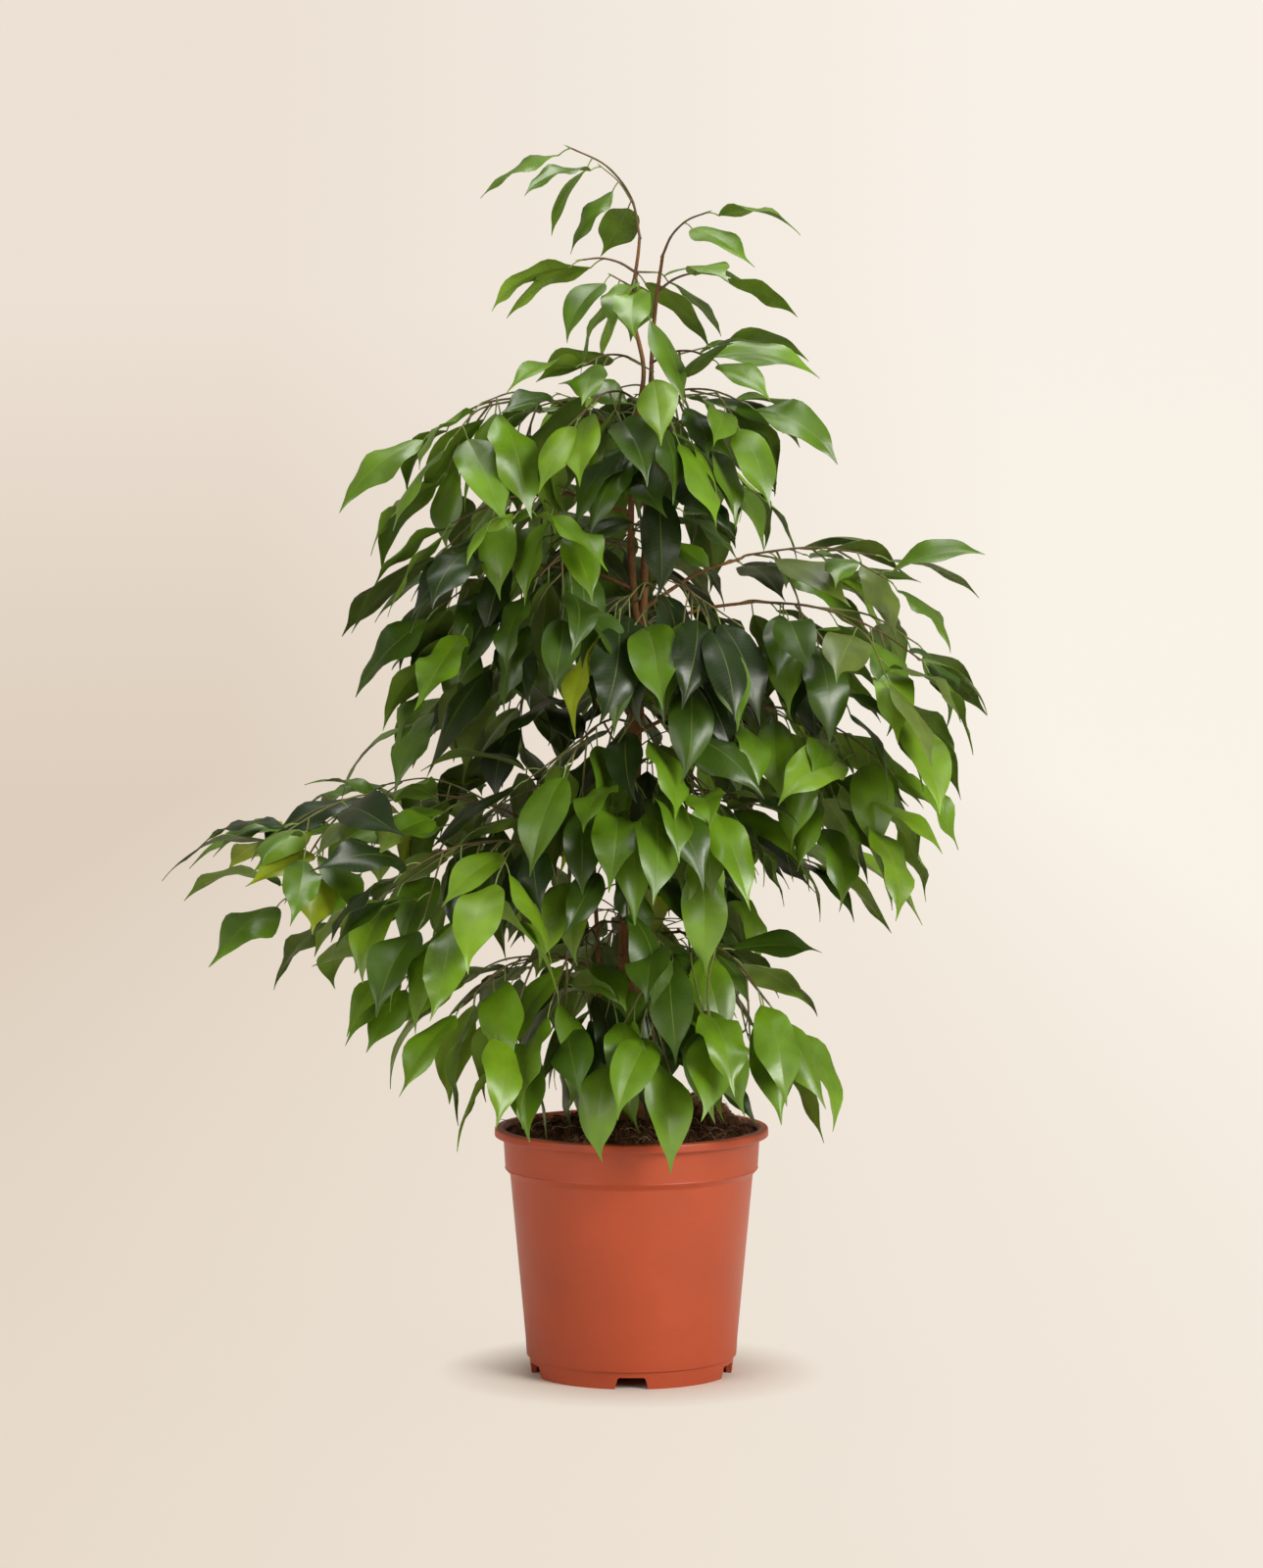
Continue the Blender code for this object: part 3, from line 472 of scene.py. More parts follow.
LEAF_FACES = [(0, 2, 4), (0, 4, 3), (0, 3, 5), (0, 5, 2), (1, 4, 2), (1, 3, 4), (1, 5, 3), (1, 2, 5)]
ROD_FACES = [(0, 1, 4, 3), (1, 2, 5, 4), (2, 0, 3, 5), (0, 2, 1), (3, 4, 5)]


def rod(low, high, radius):
    """The corners and faces of a three-sided rod, for clearance tests."""
    run = (high - low).normalized()
    side = run.orthogonal()
    corners = []
    for end in (low, high):
        for step in range(3):
            turn = Quaternion(run, 2 * math.pi * step / 3) @ side
            corners.append(end + turn * radius * ROD_MARGIN)
    return corners, ROD_FACES


def ball_around(corners):
    """The middle of some corners, and the distance from it to the farthest."""
    middle = sum(corners, Vector()) / len(corners)
    return middle, max((corner - middle).length for corner in corners)


class Room:
    """What has been placed so far, and whether a new shape would touch it."""

    def __init__(self, solids):
        self.fixed = []
        for solid in solids:
            corners = [corner.co for corner in solid.data.vertices]
            faces = [tuple(face.vertices) for face in solid.data.polygons]
            self.fixed.append(BVHTree.FromPolygons(corners, faces))
        self.placed = []

    def add(self, owner, corners, faces):
        self.placed.append((owner, *ball_around(corners), BVHTree.FromPolygons(corners, faces)))

    def add_twig(self, owner, twig):
        for low, high in pairwise(twig.axis):
            self.add(owner, *rod(low, high, twig.radius + CLEARANCE))

    def is_free(self, corners, faces, fixed=True, only=None, never=None):
        tree = BVHTree.FromPolygons(corners, faces)
        if fixed and any(tree.overlap(solid) for solid in self.fixed):
            return False
        middle, reach = ball_around(corners)
        for owner, centre, size, other in self.placed:
            if (only and owner != only) or owner == never:
                continue
            if (centre - middle).length < reach + size and tree.overlap(other):
                return False
        return True


def twig_fits(room, mass, twig):
    rods = pairwise(twig.axis)
    return all(room.is_free(*rod(low, high, twig.radius + CLEARANCE), never=mass.name) for low, high in rods)


class Leaf(NamedTuple):
    """A leaf where it grows: its root, turn, pitch, roll and length, its twig's number and its place along
    that twig, and its seed."""

    root: Vector
    azimuth: float
    pitch: float
    roll: float
    length: float
    twig: int
    share: float
    seed: int


def fit_leaf(mass, twig, number, node, share, sizes, seed, room):
    """A leaf at a share of its twig's length, in the first turn that touches nothing, or None."""
    rng = random.Random(seed)
    length = mass.leaf * rng.uniform(*sizes)
    root = along(twig.axis, share * path_length(twig.axis))
    side = 1 if node % 2 else -1
    if share == 1:
        toward = twig.azimuth
        hang = twig.fall + TIP_LEAF_HANG_SHARE * (mass.hang - twig.fall)
        turn_drift = TIP_LEAF_TURN_DRIFT
        pitch_drift = TIP_LEAF_PITCH_DRIFT
    else:
        toward = twig.azimuth + side * LEAF_TURN
        hang = mass.hang
        turn_drift = LEAF_TURN_DRIFT
        pitch_drift = LEAF_PITCH_DRIFT
    for attempt in range(LEAF_TRIES):
        freedom = 1 + FREEDOM_STEP * attempt
        azimuth = toward + rng.uniform(-turn_drift, turn_drift) * freedom
        pitch = hang + rng.uniform(-pitch_drift, pitch_drift) * freedom
        roll = rng.uniform(-LEAF_ROLL, LEAF_ROLL)
        shape = (root, azimuth, max(STEEPEST, pitch), roll, length)
        whole = leaf_corners(*shape, grow=CLEARANCE)
        blade = leaf_corners(*shape, grow=CLEARANCE, bare=BARE_PETIOLE)
        clears_others = room.is_free(whole, LEAF_FACES, never=mass.name)
        if clears_others and room.is_free(blade, LEAF_FACES, fixed=False, only=mass.name):
            room.add(mass.name, whole, LEAF_FACES)
            return Leaf(*shape, number, share, seed)
    return None


def fit_leaves(mass, twig, number, shares, sizes, seeds, room):
    """The leaves that fit at some shares of a twig's length."""
    leaves = []
    for node, share in enumerate(shares):
        seed = mass.seed * seeds[0] + number * seeds[1] + node
        leaf = fit_leaf(mass, twig, number, node, share, sizes, seed, room)
        if leaf:
            leaves.append(leaf)
    return leaves


def plan_leaves(mass, twigs, room):
    """The leaves of a mass: alternate along each twig and one at its tip."""
    leaves = []
    for number, twig in enumerate(twigs):
        count = max(1, round(path_length(twig.axis) / LEAF_SPACING))
        shares = [min(1, (node + LEAF_AT) / count) for node in range(count + 1)]
        leaves += fit_leaves(mass, twig, number, shares, LEAF_SIZES, LEAF_SEEDS, room)
    return leaves


def grow_fine(mass, twigs, room):
    """Finer twigs on the limb, on the bough, and between the leaves of each stem and shoot."""
    rng = random.Random(mass.seed * FINE_SEEDS[0] + FINE_SEEDS[1])
    grown = []

    def try_twig(root, azimuth, pitch, reach, lead=0.0):
        """Keeps a twig if all of it that is clear of the wood it grows from fits."""
        path = arching(root, azimuth, pitch, reach, FINE_BEND, 2)
        twig = Twig(path, azimuth, pitch, pitch - FINE_BEND, FINE_RADIUS, 2)
        clear = twig._replace(axis=stretch_of(path, lead, reach)) if lead else twig
        if twig_fits(room, mass, clear):
            room.add_twig(mass.name, clear)
            grown.append(twig)

    limb = limb_named(mass.carrier)
    for number in range(LIMB_TWIGS):
        height = mass.height + rng.uniform(*LIMB_TWIG_SPREAD)
        root, bark = at_height(limb, max(LOWEST_LIMB_TWIG, height))
        azimuth = mass.azimuth + (1 - 2 * (number % 2)) * rng.uniform(*LIMB_TWIG_TURN)
        pitch = rng.uniform(*LIMB_TWIG_PITCH)
        reach = rng.uniform(*LIMB_TWIG_REACH)
        if root.z < HIGHEST_LIMB_TWIG:
            try_twig(root, azimuth, pitch, reach, bark * LIMB_TWIG_LEAD + CLEARANCE)
    if mass.bough:
        arch = arch_of(mass)
        side = rng.choice((-1, 1))
        for number in range(BOUGH_TWIGS):
            share = (number + rng.uniform(*BOUGH_TWIG_AT)) / BOUGH_TWIGS
            place = arch.bark + share * mass.bough
            side = -side
            azimuth = mass.azimuth + side * rng.uniform(*FINE_TURN)
            pitch = mass.rise - mass.droop * place / arch.length + rng.uniform(*BOUGH_TWIG_LIFT)
            lead = STEM_RADIUS * BOUGH_TWIG_LEAD + CLEARANCE
            try_twig(along(arch.points, place), azimuth, pitch, rng.uniform(*FINE_REACH), lead)
    if mass.stem < SHORTEST_FINE_STEM:
        return grown
    within = FINE_WITHIN if mass.stem < LONGEST_PLAIN_STEM else FINE_WITHIN_LONG
    for twig in twigs:
        length = path_length(twig.axis)
        count = max(1, round(length / FINE_SPACING))
        side = rng.choice((-1, 1))
        for number in range(count):
            share = (number + rng.uniform(*FINE_AT)) / count
            side = -side
            azimuth = twig.azimuth + side * rng.uniform(*FINE_TURN)
            pitch = twig.rise + (twig.fall - twig.rise) * share + rng.uniform(*FINE_LIFT)
            root = along(twig.axis, share * length)
            reach = rng.uniform(*FINE_REACH)
            if outward_of(root + direction(azimuth, pitch) * reach) < within:
                try_twig(root, azimuth, pitch, reach)
    return grown


def plan_fine_leaves(mass, twigs, first, room):
    """Smaller leaves on the finer twigs: one at the side and one at the tip."""
    leaves = []
    for number in range(first, len(twigs)):
        leaves += fit_leaves(mass, twigs[number], number, (0.5, 1), FINE_LEAF_SIZES, FINE_LEAF_SEEDS, room)
    return leaves


def plan_foliage():
    """Every mass's twigs and leaves: first those of the solids, then the finer ones."""
    room = Room(node for name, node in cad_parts.items() if not name.startswith("foliage_"))
    grown = [grow_twigs(mass) for mass in MASSES]
    for mass, twigs in zip(MASSES, grown):
        room.add_twig(mass.name, twigs[0])
    for mass, twigs in zip(MASSES, grown):
        for shoot in twigs[1:]:
            if twig_fits(room, mass, shoot):
                room.add_twig(mass.name, shoot)
            else:
                twigs.remove(shoot)
    leaves = [plan_leaves(mass, twigs, room) for mass, twigs in zip(MASSES, grown)]
    for mass, twigs, own in zip(MASSES, grown, leaves):
        first = len(twigs)
        twigs += grow_fine(mass, twigs, room)
        own += plan_fine_leaves(mass, twigs, first, room)
    return grown, leaves


# Materials

UV_NAME = "blade"

# Scales of the noises, per metre
LEAF_DRIFT, LEAF_SPECK, LEAF_DENTS, LEAF_SHEEN = 26, 420, 90, 60
RIB_DRIFT, RIB_GRAIN = 90, 700
BARK_DRIFT, BARK_CRACKS, BARK_LENTICELS = 34, (900, 900, 90), (330, 330, 620)
POT_BLOTCHES, POT_GRAIN, POT_DUST, POT_SCUFFS, POT_WAVES = 16, 1500, 130, (40, 40, 900), (3, 3, 55)
PEAT_CLODS, PEAT_THREADS = 120, (220, 800, 400)
PAPER_DRIFT, PAPER_GRAIN = 3, 500

VEINS = 24
VEIN_SLANT = -0.07
VEIN_NARROWNESS = 3
VEIN_SHARE = 0.13
VEIN_COLOUR = (0.26, 0.34, 0.05)
RIB_ROUGHNESS = 0.42
LENTICEL_COLOUR = (0.42, 0.30, 0.17)
LENTICEL_SHARE = 0.26
GREEN_BARK_COLOUR = (0.16, 0.20, 0.05)
DUST_COLOUR = (0.10, 0.045, 0.025)
RIM_DUST, RIM_DUST_FROM, RIM_DUST_TO = 0.35, 0.176, 0.19
FOOT_DUST, FOOT_DUST_TO = 0.3, 0.016
PAPER_COLOURS = ((0.86, 0.795, 0.715), (0.88, 0.815, 0.735))
PAPER_ROUGHNESS = 0.6


class Nodes:
    """Adds nodes to one material and links them."""

    def __init__(self, name):
        self.material = bpy.data.materials.new(name)
        self.material.use_nodes = True
        self.tree = self.material.node_tree
        self.shader = self.tree.nodes["Principled BSDF"]

    def set(self, socket, value):
        """Feeds a socket from another one, a number, a vector or a colour."""
        if isinstance(value, bpy.types.NodeSocket):
            self.tree.links.new(value, socket)
        elif socket.type == "RGBA":
            socket.default_value = (*value, 1)
        else:
            socket.default_value = value

    def add(self, kind, feeds=(), **settings):
        """A node with its settings, and what feeds its inputs by name or number."""
        node = self.tree.nodes.new(kind)
        for name, value in settings.items():
            setattr(node, name, value)
        for name, value in dict(feeds).items():
            self.set(node.inputs[name], value)
        return node

    def place(self, scale=(1, 1, 1)):
        """Object coordinates, stretched."""
        spot = self.add("ShaderNodeTexCoord").outputs["Object"]
        return self.add("ShaderNodeMapping", {"Vector": spot, "Scale": scale}).outputs["Vector"]

    def split(self, vector):
        """The X, Y and Z of a vector."""
        return self.add("ShaderNodeSeparateXYZ", {"Vector": vector}).outputs

    def noise(self, vector, scale, detail=4.0, roughness=0.55, distortion=0.0):
        feeds = {"Vector": vector, "Scale": scale, "Detail": detail, "Roughness": roughness}
        return self.add("ShaderNodeTexNoise", {**feeds, "Distortion": distortion}).outputs["Fac"]

    def ramp(self, factor, stops):
        """A colour ramp through (place, colour) stops."""
        node = self.add("ShaderNodeValToRGB", {"Fac": factor})
        ends = node.color_ramp.elements
        while len(ends) < len(stops):
            ends.new(0.5)
        for end, (place, colour) in zip(ends, stops):
            end.position = place
            end.color = (*colour, 1)
        return node.outputs["Color"]

    def spread(self, factor, low, high, start=0.3, stop=0.7):
        """A number that goes from low to high as the factor goes from start to stop."""
        feeds = {"Value": factor, "From Min": start, "From Max": stop, "To Min": low, "To Max": high}
        return self.add("ShaderNodeMapRange", feeds).outputs["Result"]

    def mix(self, factor, one, other):
        """A mix of two colours."""
        return self.add("ShaderNodeMix", {0: factor, 6: one, 7: other}, data_type="RGBA").outputs[2]

    def maths(self, operation, one, other=0.0):
        return self.add("ShaderNodeMath", {0: one, 1: other}, operation=operation).outputs[0]

    def bump(self, height, distance, strength=1.0, under=None):
        feeds = {"Height": height, "Distance": distance, "Strength": strength}
        if under:
            feeds["Normal"] = under
        return self.add("ShaderNodeBump", feeds).outputs["Normal"]

    def dress(self, colour, roughness, normal, specular=0.5):
        for name, value in (("Base Color", colour), ("Roughness", roughness), ("Normal", normal)):
            self.set(self.shader.inputs[name], value)
        self.shader.inputs["Specular IOR Level"].default_value = specular
        return self.material


def shade(colour, factor):
    return tuple(min(1, value * factor) for value in colour)


def blended(one, other, share):
    return tuple(a + (b - a) * share for a, b in zip(one, other))


def blade_material(name, colour, roughness, veins, gloss):
    """A leaf surface: a green that drifts from leaf to leaf, with side veins pressed into it."""
    nodes = Nodes(name)
    place = nodes.place()
    drift = nodes.spread(nodes.noise(place, LEAF_DRIFT, detail=2), 0, 1, start=0.32, stop=0.68)
    speck = nodes.spread(nodes.noise(place, LEAF_SPECK, detail=3), 0, 0.18, start=0.4, stop=0.75)
    across, run, _ = nodes.split(nodes.add("ShaderNodeUVMap", uv_map=UV_NAME).outputs["UV"])
    slant = nodes.maths("MULTIPLY", nodes.maths("ABSOLUTE", across), VEIN_SLANT)
    turn = nodes.maths("MULTIPLY", nodes.maths("ADD", run, slant), 2 * math.pi * VEINS)
    wave = nodes.spread(nodes.maths("SINE", turn), 0, 1, start=0.2, stop=1)
    vein = nodes.maths("POWER", wave, VEIN_NARROWNESS)
    green = nodes.mix(drift, shade(colour, 0.72), shade(colour, 1.30))
    green = nodes.mix(speck, green, shade(colour, 1.5))
    green = nodes.mix(nodes.maths("MULTIPLY", vein, VEIN_SHARE), green, blended(colour, VEIN_COLOUR, 0.25))
    dents = nodes.noise(place, LEAF_DENTS, detail=2)
    normal = nodes.bump(dents, distance=0.0004, strength=0.25, under=nodes.bump(vein, veins))
    sheen = nodes.noise(place, LEAF_SHEEN, detail=2)
    return nodes.dress(green, nodes.spread(sheen, roughness * 0.85, roughness * 1.2), normal, specular=gloss)


def rib_material(name, colour):
    """A plain surface with a faint grain, for ribs, stalks, buds and rootlets."""
    nodes = Nodes(name)
    place = nodes.place()
    tone = nodes.mix(nodes.noise(place, RIB_DRIFT), shade(colour, 0.85), shade(colour, 1.15))
    normal = nodes.bump(nodes.noise(place, RIB_GRAIN, detail=2), distance=0.00008)
    return nodes.dress(tone, RIB_ROUGHNESS, normal)


def bark_material(name, colour, fissures=0.0004, green=0.0):
    """Bark: fine upright cracks, cross rows of pale lenticels, and a drift of tone."""
    nodes = Nodes(name)
    drift = nodes.noise(nodes.place(), BARK_DRIFT, detail=5)
    upright = nodes.noise(nodes.place(BARK_CRACKS), 1, detail=6, roughness=0.6)
    rows = nodes.add("ShaderNodeTexVoronoi", {"Vector": nodes.place(BARK_LENTICELS), "Scale": 1.0})
    spots = nodes.spread(rows.outputs["Distance"], 1, 0, start=0.16, stop=0.34)
    tone = nodes.ramp(drift, [(0.3, shade(colour, 0.55)), (0.5, colour), (0.72, shade(colour, 1.45))])
    tone = nodes.mix(nodes.spread(upright, 0.6, 0, start=0.32, stop=0.5), tone, shade(colour, 0.30))
    pale = blended(shade(colour, 1.9), LENTICEL_COLOUR, 0.5)
    tone = nodes.mix(nodes.maths("MULTIPLY", spots, LENTICEL_SHARE), tone, pale)
    if green:
        tone = nodes.mix(green, tone, GREEN_BARK_COLOUR)
    normal = nodes.bump(spots, fissures * 0.6, under=nodes.bump(upright, fissures))
    return nodes.dress(tone, nodes.spread(drift, 0.82, 0.55), normal, specular=0.35)


def pot_material():
    """Moulded plastic: a soft sheen, faint blotches, hairline scuffs and a little peat dust."""
    nodes = Nodes("moulded_pot_plastic")
    place = nodes.place()
    blotch = nodes.noise(place, POT_BLOTCHES, detail=3)
    scuffs = nodes.noise(nodes.place(POT_SCUFFS), 1, detail=6, roughness=0.7)
    tone = nodes.mix(nodes.spread(blotch, 0, 1), shade(POT_COLOUR, 0.92), shade(POT_COLOUR, 1.08))
    tone = nodes.mix(nodes.spread(scuffs, 0, 0.25, start=0.60, stop=0.72), tone, shade(POT_COLOUR, 1.6))
    height = nodes.split(place)["Z"]
    near_rim = nodes.spread(height, 0, 1, RIM_DUST_FROM, RIM_DUST_TO)
    near_foot = nodes.spread(height, 1, 0, 0.0, FOOT_DUST_TO)
    rim_dust = nodes.maths("MULTIPLY", near_rim, RIM_DUST)
    reach = nodes.maths("MAXIMUM", rim_dust, nodes.maths("MULTIPLY", near_foot, FOOT_DUST))
    dust = nodes.spread(nodes.noise(place, POT_DUST, detail=6, roughness=0.7), 0, 1, start=0.56, stop=0.72)
    tone = nodes.mix(nodes.maths("MULTIPLY", dust, reach), tone, DUST_COLOUR)
    grain = nodes.bump(nodes.noise(place, POT_GRAIN, detail=2), distance=0.00006, strength=0.5)
    waves = nodes.noise(nodes.place(POT_WAVES), 1, detail=2)
    normal = nodes.bump(waves, distance=0.0005, strength=0.35, under=grain)
    return nodes.dress(tone, nodes.spread(blotch, 0.36, 0.46), normal, specular=0.45)


def peat_material(name, dark, light, bump=0.0012):
    """Crumbly peat: dark clods with paler threads across them."""
    nodes = Nodes(name)
    clods = nodes.noise(nodes.place(), PEAT_CLODS, detail=8, roughness=0.7)
    threads = nodes.noise(nodes.place(PEAT_THREADS), 1, detail=5, roughness=0.7, distortion=1.4)
    tone = nodes.ramp(clods, [(0.30, shade(dark, 0.6)), (0.5, dark), (0.66, light), (0.8, shade(light, 1.5))])
    tone = nodes.mix(nodes.spread(threads, 0, 0.7, start=0.62, stop=0.70), tone, shade(light, 1.9))
    normal = nodes.bump(threads, bump * 0.35, under=nodes.bump(clods, bump))
    return nodes.dress(tone, nodes.spread(clods, 0.98, 0.8), normal, specular=0.2)


def stage_material():
    """Paper that the lights shade near the pot. Farther off, where the camera sees it, it mostly glows with
    painted
    light: brighter to the right and, at the left, higher up, so its darker left and lower parts are painted
    shade."""
    nodes = Nodes("studio_paper")
    place = nodes.place()
    x, _, z = nodes.split(place)
    tone = nodes.mix(nodes.noise(place, PAPER_DRIFT, detail=2), *PAPER_COLOURS)
    normal = nodes.bump(nodes.noise(place, PAPER_GRAIN, detail=3), distance=0.0001, strength=0.3)
    away = nodes.add("ShaderNodeVectorMath", {0: place}, operation="LENGTH").outputs["Value"]
    side = nodes.spread(x, 0, 1, *GLOW_SIDES)
    low = nodes.mix(side, GLOW_LEFT, GLOW_RIGHT)
    high = nodes.mix(side, GLOW_LEFT_HIGH, GLOW_RIGHT_HIGH)
    glow = nodes.mix(nodes.spread(z, 0, 1, *GLOW_CLIMB), low, high)
    light = nodes.add("ShaderNodeEmission", {"Color": glow, "Strength": 1.0})
    far = nodes.spread(away, GLOW_LEAST, 1, *GLOW_REACH)
    clear = nodes.spread(away, 0, 1, *GLOW_START)
    seen = nodes.add("ShaderNodeLightPath").outputs["Is Camera Ray"]
    share = nodes.maths("MULTIPLY", nodes.maths("MULTIPLY", far, clear), seen)
    both = nodes.add("ShaderNodeMixShader", {0: share, 1: nodes.shader.outputs[0], 2: light.outputs[0]})
    nodes.set(nodes.tree.nodes["Material Output"].inputs["Surface"], both.outputs[0])
    return nodes.dress(tone, PAPER_ROUGHNESS, normal, specular=0.2)


# Meshes


def linked(name, data):
    """A new object in the scene."""
    obj = bpy.data.objects.new(name, data)
    bpy.context.scene.collection.objects.link(obj)
    return obj


def mesh_object(name, corners, faces, materials, slots=None, smooth=True, sharp=None):
    mesh = bpy.data.meshes.new(name)
    mesh.from_pydata(corners, [], faces)
    for material in materials:
        mesh.materials.append(material)
    if slots is not None:
        mesh.polygons.foreach_set("material_index", slots)
    if smooth:
        mesh.shade_smooth()
    if sharp:
        mesh.set_sharp_from_angle(angle=math.radians(sharp))
    mesh.update()
    return linked(name, mesh)


def finish_piece(obj, nodes=()):
    """Puts a piece on the body and hides the nodes that it stands for."""
    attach(obj, BODY)
    if nodes:
        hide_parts(*nodes)


def smooth_path(points, per):
    """A rounded path through the points, with per steps between each two."""
    ends = [points[0] * 2 - points[1], *points, points[-1] * 2 - points[-2]]
    path = []
    for before, low, high, after in zip(ends, ends[1:], ends[2:], ends[3:]):
        square = before * 2 - low * 5 + high * 4 - after
        cube = low * 3 - before - high * 3 + after
        for t in (step / per for step in range(per)):
            path.append(0.5 * (low * 2 + (high - before) * t + square * t**2 + cube * t**3))
    path.append(points[-1])
    return path


def shares_of(count):
    """Even shares from 0 to 1."""
    return [step / count for step in range(count + 1)]


def around(steps):
    """Each step around a ring, with the next one."""
    return [(step, (step + 1) % steps) for step in range(steps)]


def curve(start, knee, end, steps):
    """Points along an arc from start to end, drawn toward the knee."""
    return [start * (1 - t) ** 2 + knee * (2 * t * (1 - t)) + end * t**2 for t in shares_of(steps)]


def circle(radius, steps):
    """The X and Y of points around a circle."""
    turns = [2 * math.pi * step / steps for step in range(steps)]
    return [(radius * math.cos(turn), radius * math.sin(turn)) for turn in turns]


class Shell:
    """Corners and faces gathered from many small bodies."""

    def __init__(self):
        self.corners = []
        self.faces = []

    def sweep(self, path, radii, sides, relief=None, point=0.6):
        """A round limb along a path. relief(turn, place) moves its surface out, and its tip closes in a
        point that many radii long."""
        first = len(self.corners)
        tangents = [(path[1] - path[0]).normalized()]
        tangents += [(high - low).normalized() for low, high in zip(path, path[2:])]
        tangents.append((path[-1] - path[-2]).normalized())
        side = tangents[0].orthogonal().normalized()
        before = tangents[0]
        for place, radius, tangent in zip(path, radii, tangents):
            side = before.rotation_difference(tangent) @ side
            side = (side - tangent * side.dot(tangent)).normalized()
            across = tangent.cross(side)
            before = tangent
            for step in range(sides):
                turn = 2 * math.pi * step / sides
                out = side * math.cos(turn) + across * math.sin(turn)
                spot = place + out * radius
                if relief:
                    spot = spot + out * relief(turn, spot)
                self.corners.append(tuple(spot))
        last = first + (len(path) - 1) * sides
        for low in range(first, last, sides):
            high = low + sides
            for step, other in around(sides):
                self.faces.append((low + step, low + other, high + other, high + step))
        foot = len(self.corners)
        self.corners += [tuple(path[0]), tuple(path[-1] + tangents[-1] * radii[-1] * point)]
        for step, other in around(sides):
            self.faces += [(first + other, first + step, foot), (last + step, last + other, foot + 1)]

    def add(self, corners, faces):
        first = len(self.corners)
        self.corners += corners
        self.faces += [tuple(first + corner for corner in face) for face in faces]

    def band(self, low, high, steps):
        """Faces between two rings, from the first corner of each."""
        self.faces += [(low + step, high + step, high + other, low + other) for step, other in around(steps)]

    def piece(self, name, material, slot, nodes=(), smooth=True):
        finish_piece(mesh_object(name, self.corners, self.faces, [material], smooth=smooth), nodes)


# Trunk and boughs

TRUNK_SLIMNESS = (1.0, 0.92)
TRUNK_SPACING, LIMB_SPACING, BOUGH_SPACING = 0.0009, 0.0011, 0.0012
TRUNK_SIDES, BOUGH_SIDES = 72, 20
LIMB_STEPS, BOUGH_STEPS = 12, 8
TRUNK_RELIEF, LIMB_RELIEF, BOUGH_RELIEF = 0.00034, 0.00022, 0.00016
TRUNK_SEED, BOUGH_SEED = 3.0, 7.0
TRUNK_LEAD = 0.004
ROOT_FLARE, ROOT_FOOT = 0.0030, 0.1948
# Turn, height and size of each old scar on the trunk
SCARS = [(4.4, 0.262, 0.0042), (5.2, 0.352, 0.0036), (2.0, 0.318, 0.0040), (0.4, 0.455, 0.0034)]
SCAR_RADIUS = 0.0095
SCAR_REACH, SCAR_SWELL, SCAR_PIT, SCAR_PIT_WIDTH = 2.5, 0.42, 0.55, 0.45
# Scales of the noises in a limb's relief, and their shares of its depth
CRACK_SCALES, SWELL_SCALES, ROW_SCALES = (420, 420, 60), (60, 60, 26), (300, 300, 900)
CRACK_DEPTH, SWELL_DEPTH, ROW_DEPTH = 0.55, 1.1, 1.8
FINE_CRACKS = 2.3
ROW_LIMIT = 0.28
LOBES, LOBE_TURN, LOBE_HEIGHT = 3, 0.8, 0.010
ROOT_RIDGES, ROOT_RIDGE_TURN, ROOT_RIDGE_HEIGHT, ROOT_RIDGE_SHARE = 5, 2, 0.02, 0.4
# Sides, lead and seed of the other limbs
LIMB_PLANS = {
    "leader_right": (40, 0.009, 11.0),
    "leader_left": (36, 0.010, 23.0),
    "side_stem": (32, 0.004, 31.0),
}
BOUGH_START, BOUGH_POINT = 0.15, 0.2
BOUGH_COLLAR, COLLAR_REACH = 0.5, 0.004
YOUNG_BARK_COLOUR, YOUNG_SHARE = (0.150, 0.072, 0.022), 0.75
STEM_BARK_COLOUR = (0.125, 0.078, 0.036)
SHOOT_BARK_COLOUR = (0.14, 0.10, 0.04)
YOUNG_FISSURES, STEM_FISSURES, SHOOT_FISSURES = 0.0003, 0.0002, 0.00012
SHOOT_GREEN = 0.45
BUD_COLOUR = (0.17, 0.26, 0.06)


def resample(path, spacing):
    """Points a spacing apart along a path, its ends kept."""
    length = path_length(path)
    count = max(2, round(length / spacing))
    return [along(path, length * step / count) for step in range(count + 1)]


def stretched(spot, scales, shift=0.0):
    """A place for a noise, with a scale for each axis and a shift along Z."""
    x, y, z = (value * scale for value, scale in zip(spot, scales))
    return Vector((x, y, z + shift))


